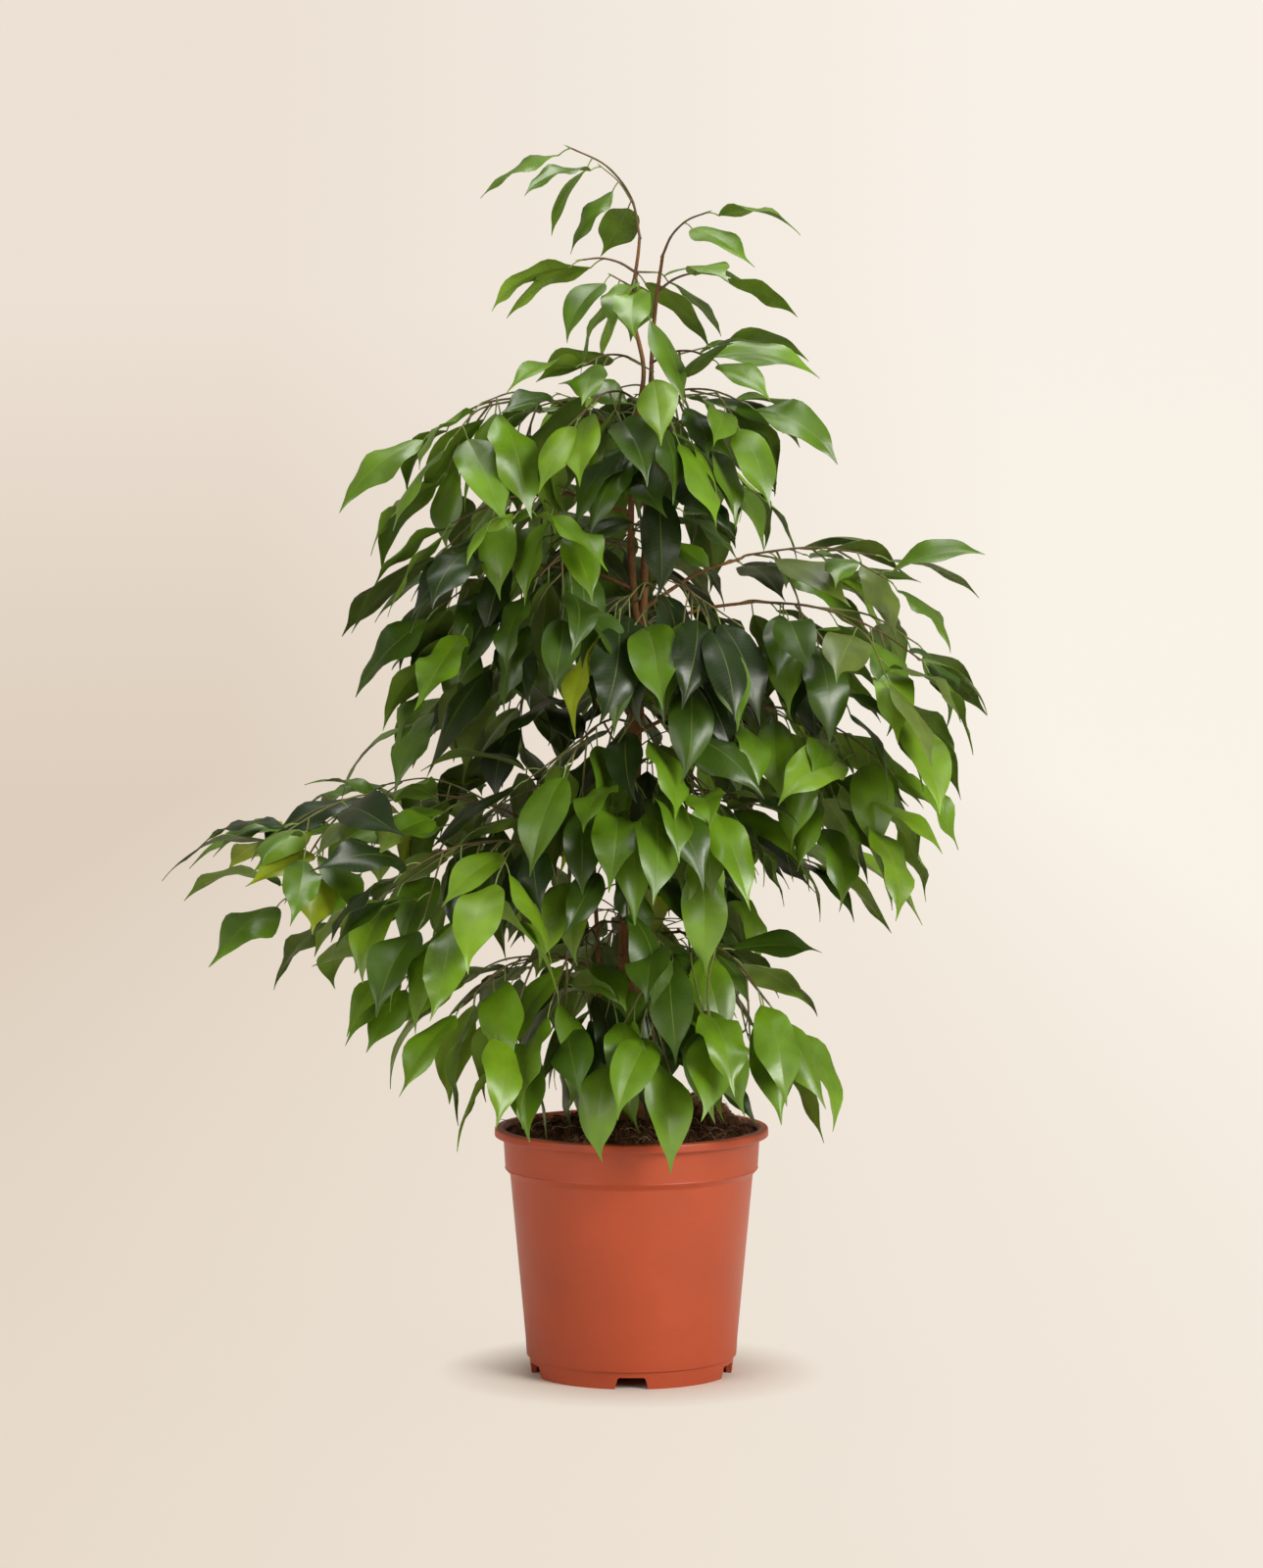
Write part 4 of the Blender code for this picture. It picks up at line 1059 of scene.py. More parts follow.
def limb_relief(depth, seed, flare=0.0, scars=()):
    """Fissures, ripples and lenticel rows for a limb, with root lobes at its foot and old scars."""

    def relief(turn, spot):
        place = stretched(spot, CRACK_SCALES, seed)
        cracks = noise.noise(place) + 0.5 * noise.noise(place * FINE_CRACKS)
        swell = noise.noise(stretched(spot, SWELL_SCALES, seed))
        rows = max(0, noise.noise(stretched(spot, ROW_SCALES)) - ROW_LIMIT)
        out = depth * (CRACK_DEPTH * cracks + SWELL_DEPTH * swell + ROW_DEPTH * rows)
        if flare:
            climb = max(0, spot.z - ROOT_FOOT)
            lobe = 0.5 + 0.5 * math.cos(LOBES * turn + LOBE_TURN)
            out += flare * math.exp(-climb / LOBE_HEIGHT) * lobe**2
            ripple = math.exp(-climb / ROOT_RIDGE_HEIGHT) * math.cos(ROOT_RIDGES * turn + ROOT_RIDGE_TURN)
            out += flare * ROOT_RIDGE_SHARE * ripple
        for scar_turn, scar_z, size in scars:
            off = math.remainder(turn - scar_turn, 2 * math.pi) * SCAR_RADIUS
            away = math.hypot(off, spot.z - scar_z) / size
            if away < SCAR_REACH:
                pit = SCAR_PIT * math.exp(-((away / SCAR_PIT_WIDTH) ** 2))
                out += size * SCAR_SWELL * (math.exp(-away * away) - pit)
        return out

    return relief


def dense_limb(name, spacing, sides, relief, lead, slimness):
    """A limb's surface, from a lead below its foot, inside what carries it."""
    limb = limb_named(name)
    points = [Vector(point) for point in limb.axis]
    start = points[0] - (points[1] - points[0]).normalized() * lead
    path = resample(smooth_path([start, *points], LIMB_STEPS), spacing)
    shares = np.linspace(*slimness, len(path))
    full = [float(np.interp(point.z, [z for _, _, z in limb.axis], limb.radii)) for point in path]
    shell = Shell()
    shell.sweep(path, [float(radius * share) for radius, share in zip(full, shares)], sides, relief)
    return shell


def make_limbs():
    bark = bark_material("trunk_bark", BARK_COLOUR)
    young = bark_material("young_bark", blended(BARK_COLOUR, YOUNG_BARK_COLOUR, YOUNG_SHARE), YOUNG_FISSURES)
    relief = limb_relief(TRUNK_RELIEF, TRUNK_SEED, ROOT_FLARE, SCARS)
    trunk = dense_limb("trunk", TRUNK_SPACING, TRUNK_SIDES, relief, TRUNK_LEAD, TRUNK_SLIMNESS)
    trunk.piece("trunk_surface", bark, "bark", ["trunk"])
    for name, (sides, lead, seed) in LIMB_PLANS.items():
        limb = dense_limb(name, LIMB_SPACING, sides, limb_relief(LIMB_RELIEF, seed), lead, LEADER_SLIMNESS)
        limb.piece(f"{name}_surface", young, "bark", [name])
    carried = [mass for mass in MASSES if mass.bough]
    boughs = Shell()
    for mass in carried:
        arch = arch_of(mass)
        axis = stretch_of(arch.points, arch.bark * BOUGH_START, arch.bark + mass.bough)
        foot = STEM_RADIUS * (BOUGH_FOOT_SHARE + BOUGH_SWELL * mass.bough)
        path = resample(smooth_path(axis, BOUGH_STEPS), BOUGH_SPACING)
        length = path_length(path)
        radii = []
        for share in shares_of(len(path) - 1):
            collar = BOUGH_COLLAR * math.exp(-share * length / COLLAR_REACH)
            radii.append((foot + (STEM_RADIUS - foot) * share) * BOUGH_SLIMNESS * (1 + collar))
        relief = limb_relief(BOUGH_RELIEF, mass.seed * BOUGH_SEED)
        boughs.sweep(path, radii, BOUGH_SIDES, relief, point=BOUGH_POINT)
    boughs.piece("bough_surfaces", young, "bark", [f"bough_{mass.name}" for mass in carried])


# Twigs and leaves

STEM_LEAD = 0.003
# For each order of twig
TWIG_FOOT = (0.00112, 0.00090, 0.00070)
TWIG_TIP = (0.00062, 0.00055, 0.00045)
TWIG_SIDES = (9, 8, 6)
TWIG_STEPS = (7, 7, 4)
TWIG_TAPER = 0.8
KNOT_SWELL, KNOT_TURN = 0.16, 1.8
BUD_SEED = 31
BUD_LENGTH = (0.003, 0.0065)
BUD_SUNK = 0.001
# Radii of a bud against its twig's tip, the last two with their places along it
BUD_FOOT = 0.95
BUD_SHAPE = ((0.3, 1.2), (1, 0.15))
BUD_POINT = 1.5
FINE_SIDES = 6


def twig_path(twig):
    return smooth_path(twig.axis, TWIG_STEPS[twig.order])


def make_twigs(grown):
    """Stems and shoots with faint knots along them, each ending in a pointed bud."""
    stems = Shell()
    shoots = Shell()
    buds = Shell()
    for mass, twigs in zip(MASSES, grown):
        for number, twig in enumerate(twigs):
            path = twig_path(twig)
            if twig.order == 0:
                path.insert(0, path[0] - (path[1] - path[0]).normalized() * STEM_LEAD)
            foot = TWIG_FOOT[twig.order]
            tip = TWIG_TIP[twig.order]
            count = len(path) - 1
            radii = []
            for share in shares_of(count):
                wave = 0.5 + 0.5 * math.cos(share * count * KNOT_TURN + number)
                radii.append((foot + (tip - foot) * share**TWIG_TAPER) * (1 + KNOT_SWELL * wave**4))
            (shoots if twig.order else stems).sweep(path, radii, TWIG_SIDES[twig.order])
            run = (path[-1] - path[-2]).normalized()
            bud = random.Random(mass.seed * BUD_SEED + number).uniform(*BUD_LENGTH)
            spots = [path[-1] - run * BUD_SUNK, *(path[-1] + run * bud * share for share, _ in BUD_SHAPE)]
            radii = [tip * BUD_FOOT, *(tip * width for _, width in BUD_SHAPE)]
            buds.sweep(spots, radii, FINE_SIDES, point=BUD_POINT)
    return stems, shoots, buds


LEAF_STATIONS = np.array(
    (0, 0.015, 0.045, 0.09, 0.15, 0.22, 0.30, 0.38, 0.46, 0.54)
    + (0.62, 0.69, 0.755, 0.81, 0.857, 0.90, 0.94, 0.975, 1)
)
LEAF_ACROSS = np.array([-1.0, -0.74, -0.40, -0.025, 0.025, 0.40, 0.74, 1.0])
# Shares of the blade's length, and half its width there against its widest
OUTLINE_AT = np.array(
    [0, 0.03, 0.08, 0.15, 0.24, 0.33, 0.42, 0.51, 0.60, 0.68, 0.745, 0.80, 0.85, 0.90, 0.95, 1]
)
OUTLINE_WIDTHS = np.array(
    [0.05, 0.24, 0.45, 0.68, 0.87, 0.965, 1.0, 0.975, 0.88, 0.715, 0.53, 0.35, 0.20, 0.112, 0.058, 0.012]
)
BLADE_STRETCH = 1.10
BLADE_WIDTH_SHARE = 0.188
BLADE_THICKNESS = 0.00042
BLADE_SHARP_ANGLE = 50
EDGE_THINNING = 0.55
RIB_WITHIN = 0.1
RIB_TAPER = 0.75
RIB_SUNK, RIB_DEPTH = 0.00010, 0.00050
TWIST_CENTRE = 0.3
BLADE_SEEDS = (13, 1)
# The range of each part of a blade's shape, in the order of the draws
BLADE_RANGES = {
    "bend": (0.55, 1.35),
    "sway": (-0.07, 0.07),
    "tip_sway": (-0.07, 0.07),
    "twist": (-0.6, 0.6),
    "tilt": (-0.12, 0.12),
    "power": (0.90, 1.12),
    "width": (0.92, 1.10),
    "groove": (0.05, 0.50),
    "crown": (0.10, 0.42),
    "waves": (1.2, 2.4),
    "left_phase": (0, 6.28),
    "right_phase": (0, 6.28),
    "ripple": (0.07, 0.30),
}


def leaf_template():
    """The faces of one blade, with the material index of each: 0 upper, 1 lower, 2 midrib, 3 margin."""
    rows = len(LEAF_STATIONS)
    columns = len(LEAF_ACROSS)
    under = rows * columns
    faces = []
    kinds = []
    for i in range(rows - 1):
        low, high = i * columns, (i + 1) * columns
        for j in range(columns - 1):
            a, b, c, d = low + j, low + j + 1, high + j + 1, high + j
            rib = j == columns // 2 - 1
            faces += [(a, b, c, d), (under + a, under + d, under + c, under + b)]
            kinds += [2, 2] if rib else [0, 1]
        faces.append((low, high, under + high, under + low))
        low, high = low + columns - 1, high + columns - 1
        faces.append((low, under + low, under + high, high))
        kinds += [3, 3]
    last = (rows - 1) * columns
    for j in range(columns - 1):
        faces.append((j, under + j, under + j + 1, j + 1))
        faces.append((last + j, last + j + 1, under + last + j + 1, under + last + j))
        kinds += [3, 3]
    return np.array(faces), np.array(kinds)


def outline_at(shares):
    """The outline's half width at shares of the length, on a smooth curve through its points."""
    places, widths = OUTLINE_AT, OUTLINE_WIDTHS
    slopes = np.gradient(widths, places)
    low = np.clip(np.searchsorted(places, shares, side="right") - 1, 0, len(places) - 2)
    span = places[low + 1] - places[low]
    t = (shares - places[low]) / span
    rise = widths[low + 1] - widths[low]
    start = slopes[low] * span
    end = slopes[low + 1] * span
    return widths[low] + t * start + t**2 * (3 * rise - 2 * start - end) + t**3 * (start + end - 2 * rise)


def blade_corners(leaves):
    """The corners of many blades at once, as an array of leaf by corner by coordinate.

    Arrays here are leaf by station by column, or leaf by station by coordinate."""
    axes = [leaf_axes(leaf.azimuth, leaf.pitch, leaf.roll) for leaf in leaves]
    run, face, across = (np.array([[[*axis[k]]] for axis in axes]) for k in range(3))
    root = np.array([[[*leaf.root]] for leaf in leaves])
    length = np.array([[[leaf.length]] for leaf in leaves])
    rngs = [random.Random(leaf.seed * BLADE_SEEDS[0] + BLADE_SEEDS[1]) for leaf in leaves]
    draws = np.array([[rng.uniform(*limits) for limits in BLADE_RANGES.values()] for rng in rngs])
    drawn = {name: draws[:, k, None, None] for k, name in enumerate(BLADE_RANGES)}
    s = LEAF_STATIONS[None, :, None]
    u = LEAF_ACROSS[None, None, :]

    angle = drawn["bend"] * 0.5 - drawn["bend"] * s
    forward = np.cos(angle) * run + np.sin(angle) * face
    upward = -np.sin(angle) * run + np.cos(angle) * face
    blade = length * (1 - BARE_PETIOLE) * BLADE_STRETCH
    steps = (forward[:, 1:] + forward[:, :-1]) / 2 * np.diff(s, axis=1) * blade
    centre = np.concatenate([np.zeros_like(root), np.cumsum(steps, 1)], 1)
    centre += root + run * (length * BARE_PETIOLE)
    centre += (drawn["sway"] * s**2 + drawn["tip_sway"] * s**6) * blade * across
    twist = drawn["twist"] * (s - TWIST_CENTRE) + drawn["tilt"]
    side = np.cos(twist) * across + np.sin(twist) * upward
    normal = np.cos(twist) * upward - np.sin(twist) * across

    half = length * BLADE_WIDTH_SHARE * drawn["width"] * outline_at(s ** drawn["power"])
    lift = half * (drawn["groove"] * np.abs(u) - drawn["crown"] * u**2)
    phase = np.where(u < 0, drawn["left_phase"], drawn["right_phase"])
    lift = lift + drawn["ripple"] * half * u**2 * np.sin(2 * math.pi * drawn["waves"] * s + phase)
    thick = BLADE_THICKNESS * (1 - EDGE_THINNING * np.abs(u))
    rib = np.where(np.abs(u) < RIB_WITHIN, 1.0, 0.0) * (1 - RIB_TAPER * s)
    base = centre[:, :, None] + side[:, :, None] * (u * half)[..., None]
    surfaces = []
    for height in (lift + thick / 2 - rib * RIB_SUNK, lift - thick / 2 - rib * RIB_DEPTH):
        surface = base + normal[:, :, None] * height[..., None]
        surfaces.append(surface.reshape(len(leaves), -1, 3))
    return np.concatenate(surfaces, 1)


# The colour and roughness of each tint
LEAF_TINTS = {
    "deep": ((0.012, 0.028, 0.003), 0.33),
    "dark": ((0.036, 0.080, 0.004), 0.34),
    "mid": ((0.078, 0.162, 0.005), 0.34),
    "fresh": ((0.110, 0.222, 0.006), 0.35),
    "bright": ((0.145, 0.270, 0.008), 0.37),
    "lime": ((0.300, 0.390, 0.014), 0.37),
    "olive": ((0.095, 0.140, 0.018), 0.38),
}
# The dark leaves shine less than the rest
LEAF_GLOSS = {"deep": 0.48, "dark": 0.52}
COMMON_GLOSS = 0.62
VEIN_DEPTH = 0.000012
UNDERSIDE_COLOUR = (0.150, 0.215, 0.035)
UNDERSIDE_SHARE = 0.42
UNDERSIDE_ROUGHNESS = 0.55
UNDERSIDE_VEINS = -0.00003
UNDERSIDE_GLOSS = 0.25
MIDRIB_SHARE, MARGIN_SHARE = 0.3, 0.18
PETIOLE_COLOUR = (0.19, 0.26, 0.07)
PETIOLE_RADII = [0.00075, 0.0006, 0.00055, 0.00055, 0.0006, 0.0005]
PETIOLE_ARCH = 0.025
PETIOLE_END = 0.0012

TINT_SEED = 523
# The weights of the tints inside each limit of how far out a spray ends. The deep and dark tints that fill
# the inside of the crown are partly older leaves' own darker green and partly painted shade; the fresh and
# bright ones outside are partly painted light.
TINT_CHANCES = [
    (0.42, {"deep": 46, "dark": 34, "mid": 15, "lime": 9, "olive": 2}),
    (0.74, {"deep": 18, "dark": 29, "mid": 29, "fresh": 16, "lime": 10, "olive": 3}),
    (math.inf, {"deep": 4, "dark": 14, "mid": 30, "fresh": 27, "bright": 13, "lime": 14, "olive": 2}),
]
# Above this height the sprays are young, and none is dark
YOUNG_TOP = 0.80
TOP_CHANCES = {"mid": 34, "fresh": 38, "bright": 10, "lime": 8, "olive": 10}


def outward_of(place):
    """How far out a place is: 0 at the crown's axis and about 1 at its outside."""
    radius = float(np.interp(place.z, CROWN_HEIGHTS, CROWN_RADII))
    return math.hypot(place.x, place.y * CROWN_DEPTH) / radius


def tint_of(twig, rng):
    """The tint of a spray, from how high and how far out it ends, darker inward partly as painted shade.
    Lime is kept for the finer twigs.
    """
    tip = twig.axis[-1]
    outward = outward_of(tip)
    chances = next(weights for limit, weights in TINT_CHANCES if outward < limit)
    if tip.z > YOUNG_TOP:
        chances = TOP_CHANCES
    name = rng.choices(list(chances), list(chances.values()))[0]
    return "bright" if name == "lime" and twig.order < 2 else name


def sweep_petiole(shell, leaf, twig):
    """The stalk of a leaf, from its twig's axis to a little way into the blade."""
    path = twig_path(twig)
    root = along(path, leaf.share * path_length(path))
    run = direction(leaf.azimuth, leaf.pitch)
    base = leaf.root + run * (leaf.length * BARE_PETIOLE)
    knee = root.lerp(base, 0.5) + Vector((0, 0, leaf.length * PETIOLE_ARCH))
    shell.sweep([*curve(root, knee, base, 4), base + run * PETIOLE_END], PETIOLE_RADII, FINE_SIDES)


def tint_materials(name):
    """The materials of a blade in one tint: upper and lower face, midrib and margin."""
    colour, roughness = LEAF_TINTS[name]
    pale = blended(colour, UNDERSIDE_COLOUR, UNDERSIDE_SHARE)
    gloss = LEAF_GLOSS.get(name, COMMON_GLOSS)
    return [
        blade_material(f"leaf_{name}_upper", colour, roughness, VEIN_DEPTH, gloss),
        blade_material(f"leaf_{name}_lower", pale, UNDERSIDE_ROUGHNESS, UNDERSIDE_VEINS, UNDERSIDE_GLOSS),
        rib_material(f"leaf_{name}_midrib", blended(colour, VEIN_COLOUR, MIDRIB_SHARE)),
        rib_material(f"leaf_{name}_margin", blended(colour, VEIN_COLOUR, MARGIN_SHARE)),
    ]


def make_leaves(grown, planned):
    """Deals the leaves out by spray to one piece for each tint."""
    dealt = {name: [] for name in LEAF_TINTS}
    sources = {name: set() for name in LEAF_TINTS}
    petioles = Shell()
    for mass, twigs, leaves in zip(MASSES, grown, planned):
        rngs = [random.Random(mass.seed * TINT_SEED + number) for number in range(len(twigs))]
        tints = [tint_of(twig, rng) for twig, rng in zip(twigs, rngs)]
        for leaf in leaves:
            dealt[tints[leaf.twig]].append(leaf)
            sources[tints[leaf.twig]].add(f"foliage_{mass.name}")
            sweep_petiole(petioles, leaf, twigs[leaf.twig])
    faces, kinds = leaf_template()
    spots = [(u, v) for v in LEAF_STATIONS for u in LEAF_ACROSS]
    blade_uv = np.array(spots + spots, np.float32)[faces.reshape(-1)]
    for name, leaves in dealt.items():
        corners = blade_corners(leaves)
        starts = np.arange(len(leaves))[:, None, None] * corners.shape[1]
        all_faces = (faces + starts).reshape(-1, 4).tolist()
        slots = np.tile(kinds, len(leaves)).tolist()
        all_corners = corners.reshape(-1, 3).tolist()
        looks = tint_materials(name)
        piece = mesh_object(f"leaves_{name}", all_corners, all_faces, looks, slots, sharp=BLADE_SHARP_ANGLE)
        layer = piece.data.uv_layers.new(name=UV_NAME)
        layer.data.foreach_set("uv", np.tile(blade_uv, (len(leaves), 1)).reshape(-1))
        finish_piece(piece, sorted(sources[name]))
    petioles.piece("petioles", rib_material("petiole_green", PETIOLE_COLOUR), "leaf")


def make_foliage():
    grown, planned = plan_foliage()
    stems, shoots, buds = make_twigs(grown)
    old = bark_material("stem_bark", STEM_BARK_COLOUR, fissures=STEM_FISSURES)
    fresh = bark_material("shoot_bark", SHOOT_BARK_COLOUR, fissures=SHOOT_FISSURES, green=SHOOT_GREEN)
    stems.piece("stems", old, "bark", [f"foliage_{mass.name}" for mass in MASSES])
    shoots.piece("shoots", fresh, "bark")
    buds.piece("buds", rib_material("bud_green", BUD_COLOUR), "leaf")
    make_leaves(grown, planned)


# Pot and peat

POT_SHARP_ANGLE = 38
NOTCH_ROUNDING, NOTCH_ROUNDING_STEPS = 0.0018, 5
LONGEST_ROUNDING = 0.48
PEAT_RINGS = 100
PEAT_STEPS = 300
# Scale, layer and depth of the noises in the peat's surface, and of its ridges
PEAT_GRAINS = ((110, 3.1, 0.0022), (330, 7.7, 0.0016), (800, 1.3, 0.0007))
RIDGE_SCALE, RIDGE_LAYER, RIDGE_DEPTH = 190, 9.2, 0.0010
PEAT_SINK = 0.0006
PEAT_CALM, PEAT_CALM_EDGE = 0.25, 0.010
PEAT_COLOURS = ((0.070, 0.028, 0.012), (0.185, 0.080, 0.036))
SCATTER_REACH = 0.090
TRUNK_KEPT_CLEAR = 0.017
CRUMB_SEED = 71
CRUMBS = 950
CRUMB_SIZES, CLOD_SIZES, CRUMB_CHANCE = (0.0006, 0.0016), (0.0016, 0.0034), 0.85
CRUMB_SQUASH = ((0.7, 1.4), (0.7, 1.4), (0.5, 0.9))
CRUMB_BUMP = 0.0005
CRUMB_SHIFT, CRUMB_ROUGHNESS, CRUMB_GRAIN = 3.7, 0.42, 1.3
CRUMB_LIFT = 0.25
LIGHT_CRUMB_CHANCE = 0.3
DARK_CRUMB_COLOURS = ((0.080, 0.032, 0.014), (0.18, 0.078, 0.036))
LIGHT_CRUMB_COLOURS = ((0.165, 0.076, 0.036), (0.30, 0.15, 0.072))
FIBRE_SEED = 83
FIBRES = 230
FIBRE_STEPS = 9
FEWEST_FIBRE_POINTS = 4
FIBRE_SIDES = 5
FIBRE_LENGTH = (0.006, 0.026)
FIBRE_CURL = 90
FIBRE_SPRING = (0.0003, 0.0035)
SPRINGY_CHANCE = 0.12
FIBRE_LIFT = 0.0004
FIBRE_LIMIT = 0.0935
FIBRE_RADIUS = (0.00014, 0.00034)
FIBRE_TAPER = 0.6
PALE_FIBRE_CHANCE = 0.45
# Heading, distance from the axis, length and climb of the roots that stand out of the peat
ROOTS = ((176, 0.082, 0.022, 30), (186, 0.079, 0.018, 44), (168, 0.083, 0.014, 12))
ROOT_BEND = 24
ROOT_LIFT = 0.0005
ROOT_RADII = [0.0006, 0.00055, 0.0005, 0.0004, 0.0003, 0.0002]
PALE_FIBRE_COLOUR = (0.52, 0.35, 0.20)
BROWN_FIBRE_COLOUR = (0.20, 0.095, 0.045)


def pot_inner_radius(height):
    outer = [
        (SEAM_Z, SEAM_RADIUS),
        (BODY_TOP_Z, BODY_TOP_RADIUS),
        (BAND_FOOT_Z, BAND_FOOT_RADIUS),
        (POT_HEIGHT, BAND_TOP_RADIUS),
    ]
    for (low, narrow), (high, wide) in pairwise(outer):
        if height <= high:
            return narrow + (wide - narrow) * (height - low) / (high - low) - POT_WALL
    return BAND_TOP_RADIUS - POT_WALL


def rounded(outline, steps=4):
    """An outline of (radius, height, rounding) corners, each rounded to an arc."""
    spots = [Vector(corner[:2]) for corner in outline]
    made = []
    for number, here in enumerate(spots):
        size = outline[number][2]
        if not size:
            made.append(tuple(here))
            continue
        before = spots[number - 1] - here
        after = spots[number + 1] - here
        cut = min(size, before.length * LONGEST_ROUNDING, after.length * LONGEST_ROUNDING)
        ends = (here + before.normalized() * cut, here, here + after.normalized() * cut)
        made += [tuple(spot) for spot in curve(*ends, steps)]
    return made


def lathe(profile, steps):
    """Corners and faces of a surface turned about Z, from its outline. A ring on the axis is one corner."""
    corners = []
    rings = []
    for radius, height in profile:
        ring = circle(radius, steps) if radius > 1e-9 else [(0, 0)]
        rings.append(range(len(corners), len(corners) + len(ring)))
        corners += [(x, y, height) for x, y in ring]
    faces = []
    for low, high in pairwise(rings):
        for step, other in around(steps):
            ends = [(low, step), (low, other), (high, other), (high, step)]
            face = tuple(dict.fromkeys(ring[place % len(ring)] for ring, place in ends))
            if len(face) > 2:
                faces.append(face)
    return corners, faces


def make_pot():
    floor_z = FLOOR_UNDERSIDE_Z + FLOOR_THICKNESS
    lip_z = POT_HEIGHT - LIP_DEPTH
    rim_z = POT_HEIGHT - RIM_HEIGHT
    foot_inner = FOOT_RADIUS - FOOT_WIDTH
    # Radius, height and rounding, from the inside of the floor over the rim to the underside
    outline = [
        (0, floor_z, 0),
        (pot_inner_radius(floor_z), floor_z, 0.0012),
        (pot_inner_radius(BODY_TOP_Z), BODY_TOP_Z, 0.0010),
        (pot_inner_radius(BAND_FOOT_Z), BAND_FOOT_Z, 0.0010),
        (pot_inner_radius(lip_z), lip_z, 0.0010),
        (RIM_RADIUS - RIM_TOP_WIDTH, POT_HEIGHT, 0.0010),
        (RIM_RADIUS - RIM_EDGE * 0.3, POT_HEIGHT - 0.0001, 0.0016),
        (RIM_RADIUS, rim_z, 0.0012),
        (BAND_TOP_RADIUS, rim_z, 0.0006),
        (BAND_FOOT_RADIUS + 0.0002, BAND_FOOT_Z + 0.0014, 0.0004),
        (BAND_FOOT_RADIUS + 0.0006, BAND_FOOT_Z + 0.0008, 0.0004),
        (BAND_FOOT_RADIUS, BAND_FOOT_Z, 0.0005),
        (BODY_TOP_RADIUS, BODY_TOP_Z, 0.0014),
        (SEAM_RADIUS + 0.0008, SEAM_Z + 0.0135, 0.001),
        (SEAM_RADIUS, SEAM_Z, 0.0006),
        (FOOT_TOP_RADIUS, SEAM_Z, 0.0005),
        (FOOT_RADIUS, 0, 0.0007),
        (foot_inner, 0, 0.0007),
        (foot_inner, FLOOR_UNDERSIDE_Z, 0.0008),
        (PAD_RADIUS, FLOOR_UNDERSIDE_Z, 0.0008),
        (PAD_RADIUS, 0, 0.0006),
        (0, 0, 0),
    ]
    pot = mesh_object("nursery_pot", *lathe(rounded(outline), POT_STEPS), [pot_material()])
    shell = bmesh.new()
    shell.from_mesh(pot.data)
    bmesh.ops.recalc_face_normals(shell, faces=shell.faces)
    shell.to_mesh(pot.data)
    shell.free()
    for number in range(NOTCHES):
        cut_notch(pot, -90 + 360 * number / NOTCHES)
    pot.data.shade_smooth()
    pot.data.set_sharp_from_angle(angle=math.radians(POT_SHARP_ANGLE))
    finish_piece(pot, ["pot"])


def cut_notch(pot, azimuth):
    """Cuts one drain notch with softened upper corners through the foot ring."""
    slope = (NOTCH_FOOT_WIDTH - NOTCH_TOP_WIDTH) / NOTCH_HEIGHT
    foot = (NOTCH_TOP_WIDTH + slope * (NOTCH_HEIGHT + NOTCH_OVERCUT)) / 2
    top = NOTCH_TOP_WIDTH / 2
    upper = [(-top, NOTCH_HEIGHT, NOTCH_ROUNDING), (top, NOTCH_HEIGHT, NOTCH_ROUNDING)]
    outline = rounded([(-foot, -NOTCH_OVERCUT, 0), *upper, (foot, -NOTCH_OVERCUT, 0)], NOTCH_ROUNDING_STEPS)
    block = bmesh.new()
    ends = []
    for reach in NOTCH_REACH:
        ends.append([block.verts.new((reach, across, height)) for across, height in outline])
    block.faces.new(ends[0])
    block.faces.new(ends[1][::-1])
    for step, other in around(len(outline)):
        block.faces.new((ends[0][step], ends[1][step], ends[1][other], ends[0][other]))
    bmesh.ops.recalc_face_normals(block, faces=block.faces)
    mesh = bpy.data.meshes.new("notch")
    block.to_mesh(mesh)
    block.free()
    cutter = linked("notch", mesh)
    cutter.rotation_euler.z = math.radians(azimuth)
    modifier = pot.modifiers.new("Notch", "BOOLEAN")
    modifier.operation = "DIFFERENCE"
    modifier.solver = "EXACT"
    modifier.object = cutter
    cut = bpy.data.meshes.new_from_object(pot.evaluated_get(bpy.context.evaluated_depsgraph_get()))
    pot.modifiers.clear()
    pot.data = cut
    bpy.data.objects.remove(cutter)


def eased(distance, width):
    return min(1, max(0, distance / width))


def peat_height(x, y):
    """The height of the peat, as in the part's source."""
    radius = math.hypot(x, y)
    edge = pot_inner_radius(PEAT_EDGE_Z)
    away = eased(radius - PEAT_FLAT_RADIUS, PEAT_BLEND)
    inside = eased(edge - radius, PEAT_EDGE_BLEND)
    slope = (PEAT_EDGE_Z - PEAT_FOOT_Z) * eased(radius - PEAT_FLAT_RADIUS, edge - PEAT_FLAT_RADIUS)
    crest = direction(MOUND_AZIMUTH, 0) * MOUND_REACH
    mound = MOUND_HEIGHT * math.exp(-((math.hypot(x - crest.x, y - crest.y) / MOUND_WIDTH) ** 2))
    (across, shift), (deep, offset), (one, other) = LUMPS
    lumps = math.sin(across * x + shift) * math.cos(deep * y + offset)
    lumps += CROSS_LUMPS * math.sin(one * y - other * x)
    return PEAT_FOOT_Z + slope + away * inside * (mound + PEAT_ROUGHNESS * lumps)


def peat_surface(x, y):
    """The height with its crumbs: clods, grains and pits."""
    edge = pot_inner_radius(PEAT_EDGE_Z)
    inside = PEAT_CALM + (1 - PEAT_CALM) * eased(edge - math.hypot(x, y), PEAT_CALM_EDGE)
    grain = 0
    for scale, layer, depth in PEAT_GRAINS:
        grain += depth * noise.noise(Vector((x * scale, y * scale, layer)))
    ridge = noise.noise(Vector((x * RIDGE_SCALE, y * RIDGE_SCALE, RIDGE_LAYER)))
    rough = grain + RIDGE_DEPTH * (1 - abs(ridge) * 2)
    return peat_height(x, y) + inside * (rough - PEAT_SINK)


